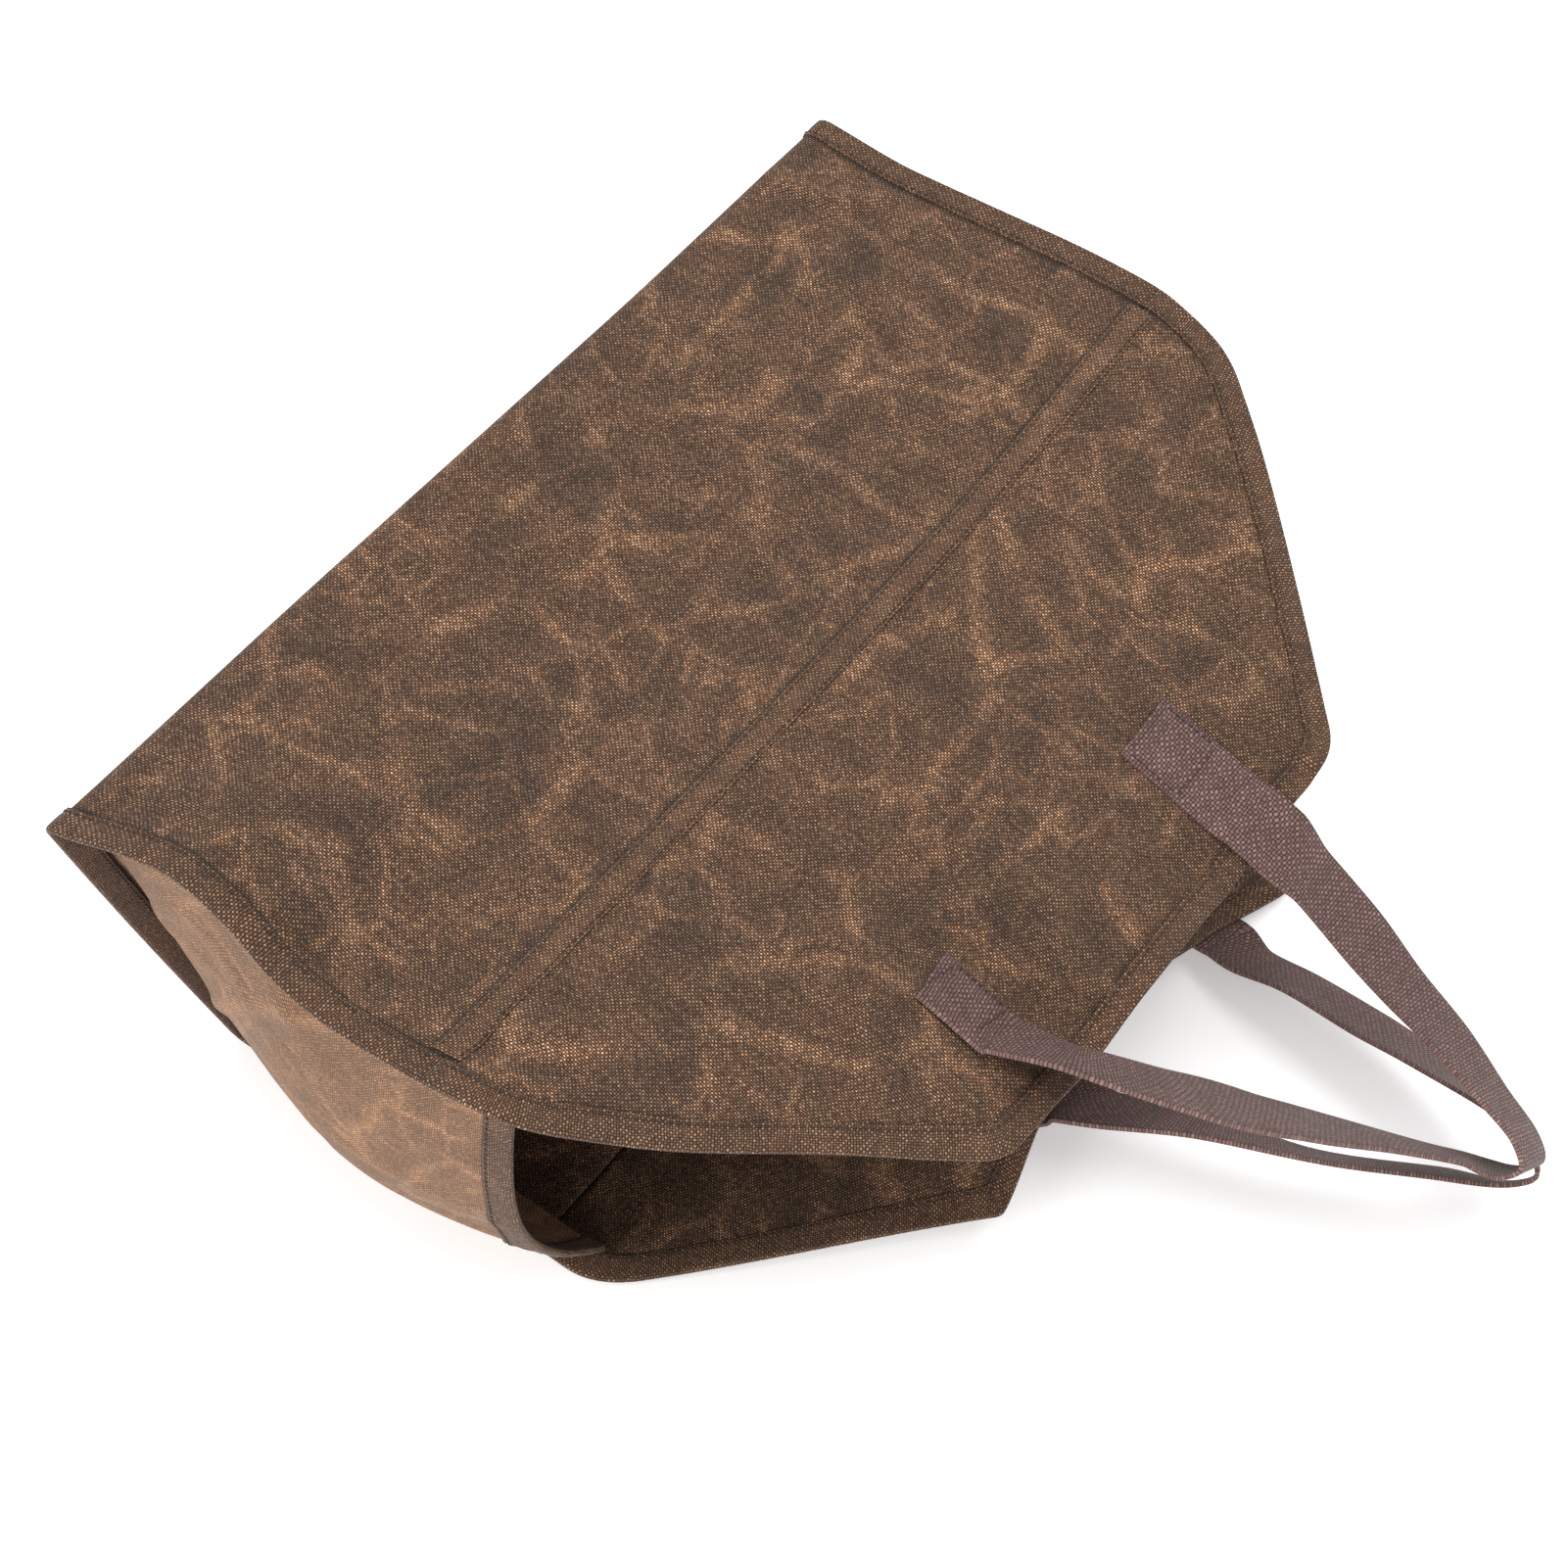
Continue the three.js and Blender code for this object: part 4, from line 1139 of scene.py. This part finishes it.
@dataclass
class Wires:
    """Adds shader nodes to a tree and links them."""

    tree: bpy.types.NodeTree

    def plug(self, socket: bpy.types.NodeSocket, value: object) -> None:
        """Links a socket to another, or sets its value."""
        if isinstance(value, bpy.types.NodeSocket):
            self.tree.links.new(value, socket)
        else:
            socket.default_value = value

    def add(
        self, kind: str, inputs: dict[str | int, object] | None = None, **settings: object
    ) -> bpy.types.Node:
        """Adds a node, sets its properties and plugs in its inputs."""
        node = self.tree.nodes.new(kind)
        for name, value in settings.items():
            setattr(node, name, value)
        for name, value in (inputs or {}).items():
            self.plug(node.inputs[name], value)
        return node

    def math(self, operation: str, *values: object, clamp: bool = False) -> bpy.types.NodeSocket:
        """Result of a Math node."""
        node = self.add("ShaderNodeMath", dict(enumerate(values)), operation=operation, use_clamp=clamp)
        return node.outputs[0]

    def mix(self, amount: object, first: object, second: object, blend: str = "MIX") -> bpy.types.NodeSocket:
        """A colour mixed from two."""
        node = self.add("ShaderNodeMix", data_type="RGBA", blend_type=blend)
        for index, value in ((0, amount), (6, first), (7, second)):
            self.plug(node.inputs[index], value)
        return node.outputs[2]

    def noise(
        self, vector: object, scale: float, detail: float = 2.0, distortion: float = 0.0
    ) -> bpy.types.Node:
        """A Noise Texture of a scale per metre."""
        inputs = {"Vector": vector, "Scale": scale, "Detail": detail, "Distortion": distortion}
        return self.add("ShaderNodeTexNoise", inputs, noise_dimensions="2D")

    def stray(self, vector: object, scale: float, far: object) -> bpy.types.NodeSocket:
        """A vector pushed about by noise, by up to half of far."""
        centred = {0: self.noise(vector, scale).outputs["Color"], 1: (0.5, 0.5, 0.5)}
        drift = self.add("ShaderNodeVectorMath", centred, operation="SUBTRACT").outputs[0]
        drift = self.add("ShaderNodeVectorMath", {0: drift, "Scale": far}, operation="SCALE").outputs[0]
        return self.add("ShaderNodeVectorMath", {0: vector, 1: drift}, operation="ADD").outputs[0]

    def ramp(
        self, value: object, low: float, high: float, start: float = 0.0, end: float = 1.0
    ) -> bpy.types.NodeSocket:
        """A value spread smoothly from one range to another."""
        node = self.add("ShaderNodeMapRange", interpolation_type="SMOOTHSTEP")
        for index, item in enumerate((value, low, high, start, end)):
            self.plug(node.inputs[index], item)
        return node.outputs[0]


def new_group(
    name: str, inputs: dict[str, str], outputs: dict[str, str]
) -> tuple[Wires, bpy.types.Node, bpy.types.Node]:
    """Starts a shader node group.

    Args:
        name: name of the group.
        inputs: kind of each input socket by its name.
        outputs: kind of each output socket by its name.

    Returns:
        The wires of its tree, its input node and its output node.
    """
    tree = bpy.data.node_groups.new(name, "ShaderNodeTree")
    for way, sockets in (("INPUT", inputs), ("OUTPUT", outputs)):
        for socket, kind in sockets.items():
            tree.interface.new_socket(socket, in_out=way, socket_type=f"NodeSocket{kind}")
    wires = Wires(tree)
    return wires, wires.add("NodeGroupInput"), wires.add("NodeGroupOutput")


def weave_group() -> bpy.types.NodeTree:
    """Threads crossing over and under each other: their relief and each float's own tone."""
    wires, given, result = new_group(
        "Thread_Weave",
        {
            "Vector": "Vector",
            "Pitch U": "Float",
            "Pitch V": "Float",
            "Weft Depth": "Float",
            "Wander": "Float",
        },
        {"Height": "Float", "Tone": "Float", "Slub": "Float"},
    )
    vector = given.outputs["Vector"]
    moved = wires.stray(vector, 140.0, given.outputs["Wander"])
    parts = wires.add("ShaderNodeSeparateXYZ", {0: moved})
    u = wires.math("DIVIDE", parts.outputs[0], given.outputs["Pitch U"])
    v = wires.math("DIVIDE", parts.outputs[1], given.outputs["Pitch V"])
    cell_u, cell_v = wires.math("FLOOR", u), wires.math("FLOOR", v)
    parity = wires.math("FLOORED_MODULO", wires.math("ADD", cell_u, cell_v), 2.0)

    def crown(value: bpy.types.NodeSocket) -> bpy.types.NodeSocket:
        """How high a thread stands across its own width."""
        inside = wires.math("SUBTRACT", wires.math("FRACT", value), 0.5)
        return wires.math("COSINE", wires.math("MULTIPLY", inside, math.pi))

    crown_u, crown_v = crown(u), crown(v)
    warp = wires.math("MULTIPLY", crown_u, wires.math("MULTIPLY_ADD", crown_v, 0.7, 0.3))
    weft = wires.math("MULTIPLY", crown_v, wires.math("MULTIPLY_ADD", crown_u, 0.7, 0.3))
    weft = wires.math("MULTIPLY", weft, given.outputs["Weft Depth"])
    height = wires.add("ShaderNodeMix", {0: parity, 2: warp, 3: weft}).outputs[0]
    cell = wires.add("ShaderNodeCombineXYZ", {0: cell_u, 1: cell_v})
    tone = wires.add("ShaderNodeTexWhiteNoise", {"Vector": cell.outputs[0]}, noise_dimensions="2D")
    line = wires.add("ShaderNodeMix", {0: parity, 2: cell_u, 3: cell_v}).outputs[0]
    seed = wires.math("MULTIPLY_ADD", parity, 517.0, line)
    thread = wires.add("ShaderNodeTexWhiteNoise", {"W": seed}, noise_dimensions="1D")
    own = wires.math("MULTIPLY", tone.outputs["Value"], 0.65)
    wires.plug(result.inputs["Slub"], wires.noise(vector, 420.0, 3.0).outputs["Fac"])
    wires.plug(result.inputs["Height"], height)
    wires.plug(result.inputs["Tone"], wires.math("MULTIPLY_ADD", thread.outputs["Value"], 0.35, own))
    return wires.tree


def wear_group() -> bpy.types.NodeTree:
    """Marks of handling in waxed cloth: a net of rubbed creases, dark wax patches and mottling."""
    wires, given, result = new_group(
        "Wax_Wear",
        {"Vector": "Vector", "Crease Scale": "Float"},
        {"Creases": "Float", "Patches": "Float", "Mottle": "Float"},
    )
    vector, scale = given.outputs["Vector"], given.outputs["Crease Scale"]
    moved = wires.stray(wires.stray(vector, 9.0, 0.05), 60.0, 0.006)

    def net(size: object, width: float, seed: float, low: float) -> bpy.types.NodeSocket:
        """Broken lines round cells of a size, kept where a noise is over a low value."""
        corner = {0: moved, 1: (seed, seed, 0.0)}
        shifted = wires.add("ShaderNodeVectorMath", corner, operation="ADD").outputs[0]
        cells = wires.add(
            "ShaderNodeTexVoronoi",
            {"Vector": shifted, "Scale": size},
            feature="DISTANCE_TO_EDGE",
            voronoi_dimensions="2D",
        )
        line = wires.ramp(cells.outputs["Distance"], 0.0, width, 1.0, 0.0)
        kept = wires.ramp(wires.noise(shifted, 16.0).outputs["Fac"], low, low + 0.14)
        return wires.math("MULTIPLY", line, kept)

    broad = net(scale, 0.11, 3.1, 0.40)
    fine = net(wires.math("MULTIPLY", scale, 2.1), 0.13, 9.7, 0.44)
    hair = net(wires.math("MULTIPLY", scale, 4.4), 0.12, 5.3, 0.50)
    streaks = wires.math("MAXIMUM", broad, wires.math("MULTIPLY", fine, 0.75))
    streaks = wires.math("MAXIMUM", streaks, wires.math("MULTIPLY", hair, 0.3))
    broken = wires.ramp(wires.noise(vector, 150.0, 3.0).outputs["Fac"], 0.3, 0.55, 0.5, 1.0)
    patches = wires.ramp(wires.noise(moved, 17.0, 3.0).outputs["Fac"], 0.5, 0.68)
    wires.plug(result.inputs["Creases"], wires.math("MULTIPLY", streaks, broken))
    wires.plug(result.inputs["Patches"], patches)
    wires.plug(result.inputs["Mottle"], wires.noise(vector, 42.0, 6.0).outputs["Fac"])
    return wires.tree


@dataclass(frozen=True)
class WovenFinish:
    """A woven cloth's colours, threads and wear, with painted shade in the hollows between its threads."""

    name: str
    # The first colour is painted shade in the weave's hollows between threads; it gives way to the threads'
    # own colour as the relief rises from open_gap to full.
    hollow_shade: str
    thread: str
    thread_light: str
    pitch_u: float
    pitch_v: float
    weft_depth: float = 0.5
    open_gap: float = 0.15
    full: float = 0.85
    wear: float = 1.0
    patches: float = 0.22
    crease_scale: float = 15.0
    mottle: float = 0.34
    slub: float = 0.65
    roughness: float = 0.74
    relief: float = 0.9
    sheen: float = 0.06

    def material(self, weave: bpy.types.NodeTree, wear: bpy.types.NodeTree) -> bpy.types.Material:
        """Builds the material.

        Args:
            weave: the group that draws threads.
            wear: the group that draws creases and wax.

        Returns:
            The finished material, which reads the piece's own UV map and its marks: the rubbed creases, and
            the painted shade beside seams and bindings.
        """
        made = bpy.data.materials.new(self.name)
        made.use_nodes = True
        wires = Wires(made.node_tree)
        shader = made.node_tree.nodes["Principled BSDF"]
        flat = wires.add("ShaderNodeUVMap", uv_map="UVMap").outputs[0]
        threads = wires.add("ShaderNodeGroup", node_tree=weave)
        wires.plug(threads.inputs["Vector"], flat)
        threads.inputs["Pitch U"].default_value = self.pitch_u * MM
        threads.inputs["Pitch V"].default_value = self.pitch_v * MM
        threads.inputs["Weft Depth"].default_value = self.weft_depth
        threads.inputs["Wander"].default_value = 0.0016
        marks = wires.add("ShaderNodeGroup", node_tree=wear)
        wires.plug(marks.inputs["Vector"], flat)
        marks.inputs["Crease Scale"].default_value = self.crease_scale
        height, tone = threads.outputs["Height"], threads.outputs["Tone"]
        drawn = wires.add("ShaderNodeAttribute", attribute_name="crease").outputs["Fac"]
        painted_shade = wires.add("ShaderNodeAttribute", attribute_name="shade").outputs["Fac"]
        yarn = wires.mix(wires.ramp(tone, 0.2, 0.85), paint(self.thread), paint(self.thread_light))
        # Painted shade: the colour darkens where the weave's relief is low, in the hollows between threads
        cloth = wires.mix(wires.ramp(height, self.open_gap, self.full), paint(self.hollow_shade), yarn)
        smoky = wires.ramp(marks.outputs["Mottle"], 0.3, 0.7, 1 - self.mottle / 2, 1 + self.mottle / 2)
        lines = wires.math("MULTIPLY", marks.outputs["Creases"], self.wear)
        lines = wires.math("MAXIMUM", lines, wires.math("MULTIPLY", drawn, 0.6))
        lit = wires.math("MULTIPLY_ADD", marks.outputs["Patches"], -self.patches, smoky)
        lit = wires.math("MULTIPLY", lit, wires.math("ADD", lines, 1.0))
        slub = wires.ramp(threads.outputs["Slub"], 0.3, 0.7, 1 - self.slub / 2, 1 + self.slub / 2)
        lit = wires.math("MULTIPLY", lit, slub)
        grey = wires.add("ShaderNodeCombineColor", {0: lit, 1: lit, 2: lit}).outputs[0]
        cloth = wires.mix(1.0, cloth, grey, "MULTIPLY")
        # Painted shade: the colour goes to near black along the seam and binding lines, by the piece's shade
        # mark
        cloth = wires.mix(wires.math("MULTIPLY", painted_shade, 1.0, clamp=True), cloth, paint("0c0a09"))
        wires.plug(shader.inputs["Base Color"], cloth)
        shader.inputs["Specular IOR Level"].default_value = 0.3
        shader.inputs["Sheen Weight"].default_value = self.sheen
        shader.inputs["Sheen Roughness"].default_value = 0.5
        rough = wires.math("MULTIPLY_ADD", marks.outputs["Patches"], -0.10, self.roughness)
        wires.plug(shader.inputs["Roughness"], rough)
        bump = wires.add("ShaderNodeBump", {"Strength": self.relief, "Distance": 0.0005, "Height": height})
        wires.plug(shader.inputs["Normal"], bump.outputs[0])
        return made


@dataclass(frozen=True)
class ThreadFinish:
    """Waxed sewing thread, with its twist."""

    name: str
    colour: str
    twist: float = 1400.0

    def material(self) -> bpy.types.Material:
        """Builds the material, which reads object coordinates."""
        made = bpy.data.materials.new(self.name)
        made.use_nodes = True
        wires = Wires(made.node_tree)
        shader = made.node_tree.nodes["Principled BSDF"]
        place = wires.add("ShaderNodeTexCoord").outputs["Object"]
        twist = wires.add("ShaderNodeTexWave", {"Vector": place, "Scale": self.twist}).outputs["Fac"]
        worn = wires.noise(place, 260.0).outputs["Fac"]
        shade = wires.math("MULTIPLY_ADD", twist, 0.35, wires.math("MULTIPLY", worn, 0.4))
        dark = tuple(0.45 * part for part in paint(self.colour)[:3]) + (1.0,)
        wires.plug(shader.inputs["Base Color"], wires.mix(shade, paint(self.colour), dark))
        shader.inputs["Roughness"].default_value = 0.6
        bump = wires.add("ShaderNodeBump", {"Strength": 0.4, "Distance": 0.0001, "Height": twist})
        wires.plug(shader.inputs["Normal"], bump.outputs[0])
        return made


CANVAS_FINISH = WovenFinish(
    name="Waxed_Canvas", hollow_shade="1b110b", thread="785339", thread_light="a9805f", pitch_u=1.15, pitch_v=1.12,
)
GUSSET_FINISH = WovenFinish(
    name="Gusset_Canvas", hollow_shade="543a29", thread="926947", thread_light="bd9168", pitch_u=1.15, pitch_v=1.12,
    patches=0.1, wear=0.6, slub=0.3, crease_scale=17.0, mottle=0.2,
)
STRIP_FINISH = WovenFinish(
    name="Strip_Canvas", hollow_shade="261910", thread="80593e", thread_light="ad8462", pitch_u=1.15, pitch_v=1.12,
    wear=0.35, patches=0.12, mottle=0.2, slub=0.25,
)
TAPE_FINISH = WovenFinish(
    name="Binding_Tape", hollow_shade="21150e", thread="745036", thread_light="a67d5c", pitch_u=1.3, pitch_v=1.2,
    wear=0.2, patches=0.1, mottle=0.2, slub=0.3,
)
WEBBING_FINISH = WovenFinish(
    name="Webbing", hollow_shade="261917", thread="70534d", thread_light="896b65", pitch_u=1.7, pitch_v=2.0,
    weft_depth=0.4, open_gap=0.05, full=0.55, wear=0.05, patches=0.05, mottle=0.15, slub=0.15,
)
CANVAS_THREAD = ThreadFinish("Canvas_Thread", "2c1d13")
WEBBING_THREAD = ThreadFinish("Webbing_Thread", "46302c")


@dataclass(frozen=True)
class FloorFinish:
    """Plain pale floor paint."""

    name: str = "Floor_Paint"
    glow: float = 0.3

    def material(self) -> bpy.types.Material:
        """Builds the material."""
        made = bpy.data.materials.new(self.name)
        made.use_nodes = True
        shader = made.node_tree.nodes["Principled BSDF"]
        shader.inputs["Base Color"].default_value = (0.93, 0.93, 0.93, 1)
        shader.inputs["Emission Color"].default_value = (1, 1, 1, 1)
        shader.inputs["Emission Strength"].default_value = self.glow
        shader.inputs["Roughness"].default_value = 0.9
        return made


@dataclass
class Studio:
    """Pale floor, soft lights and the camera."""

    camera_place: tuple[float, float, float] = (708.374, 722.943, 1259.194)
    camera_turn: tuple[float, float, float] = (0.641544, 0.022533, 2.219618)
    lens: float = 65.192

    def floor(self) -> None:
        """A wide pale floor."""
        bm = bmesh.new()
        bmesh.ops.create_grid(bm, x_segments=1, y_segments=1, size=4.0)
        bmesh.ops.translate(bm, vec=(0, 0, -0.0005), verts=bm.verts)
        mesh = bpy.data.meshes.new("Studio_Floor")
        bm.to_mesh(mesh)
        bm.free()
        floor = bpy.data.objects.new("Studio_Floor", mesh)
        bpy.context.scene.collection.objects.link(floor)
        floor.data.materials.append(FloorFinish().material())

    def light(self, name: str, place: Sequence[float], size: float, power: float) -> None:
        """A soft area light that looks at the carrier."""
        data = bpy.data.lights.new(name, "AREA")
        data.shape = "DISK"
        data.size = size
        data.energy = power
        lamp = bpy.data.objects.new(name, data)
        lamp.location = place
        lamp.rotation_euler = (-Vector(place)).to_track_quat("-Z", "Y").to_euler()
        bpy.context.scene.collection.objects.link(lamp)

    def build(self) -> None:
        """Sets up the floor, the lights and the camera."""
        self.floor()
        self.light("Overhead", (-0.3, 0.3, 2.6), 2.4, 60)
        self.light("Near_Side", (2.2, -0.6, 1.3), 1.6, 32)
        self.light("Mouth_Fill", (1.6, 1.3, 0.8), 1.0, 10)
        world = bpy.data.worlds.new("Studio")
        world.use_nodes = True
        world.node_tree.nodes["Background"].inputs["Color"].default_value = (1, 1, 1, 1)
        world.node_tree.nodes["Background"].inputs["Strength"].default_value = 0.65
        bpy.context.scene.world = world
        bpy.context.scene.view_settings.view_transform = "Standard"
        data = bpy.data.cameras.new("Camera")
        data.lens = self.lens
        data.sensor_width = 36
        data.clip_end = 20
        camera = bpy.data.objects.new("Camera", data)
        camera.location = Vector(to_frame(np.array(self.camera_place)))
        camera.rotation_euler = Euler(self.camera_turn)
        bpy.context.scene.collection.objects.link(camera)
        bpy.context.scene.camera = camera


def main() -> None:
    """Builds the carrier and its studio, and reports each piece."""
    logging.basicConfig(level=logging.INFO, format="%(message)s")
    shape = BagShape()
    weave, wear = weave_group(), wear_group()
    finishes = (CANVAS_FINISH, STRIP_FINISH, GUSSET_FINISH, TAPE_FINISH, WEBBING_FINISH)
    canvas, strip, gusset, tape, webbing = (finish.material(weave, wear) for finish in finishes)
    bindings, handles = Bindings(shape, tape), Handles(shape, webbing)
    made = Panels(shape, canvas, strip).build() + Gussets(shape, gusset).build()
    made += bindings.build() + handles.build()
    made += Stitching(shape, bindings, CANVAS_THREAD.material(), WEBBING_THREAD.material()).build()
    for piece in made:
        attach(piece, "root")
        log.info("%s: %d faces", piece.name, len(piece.data.polygons))
    Studio().build()


if __name__ == "__main__":
    main()
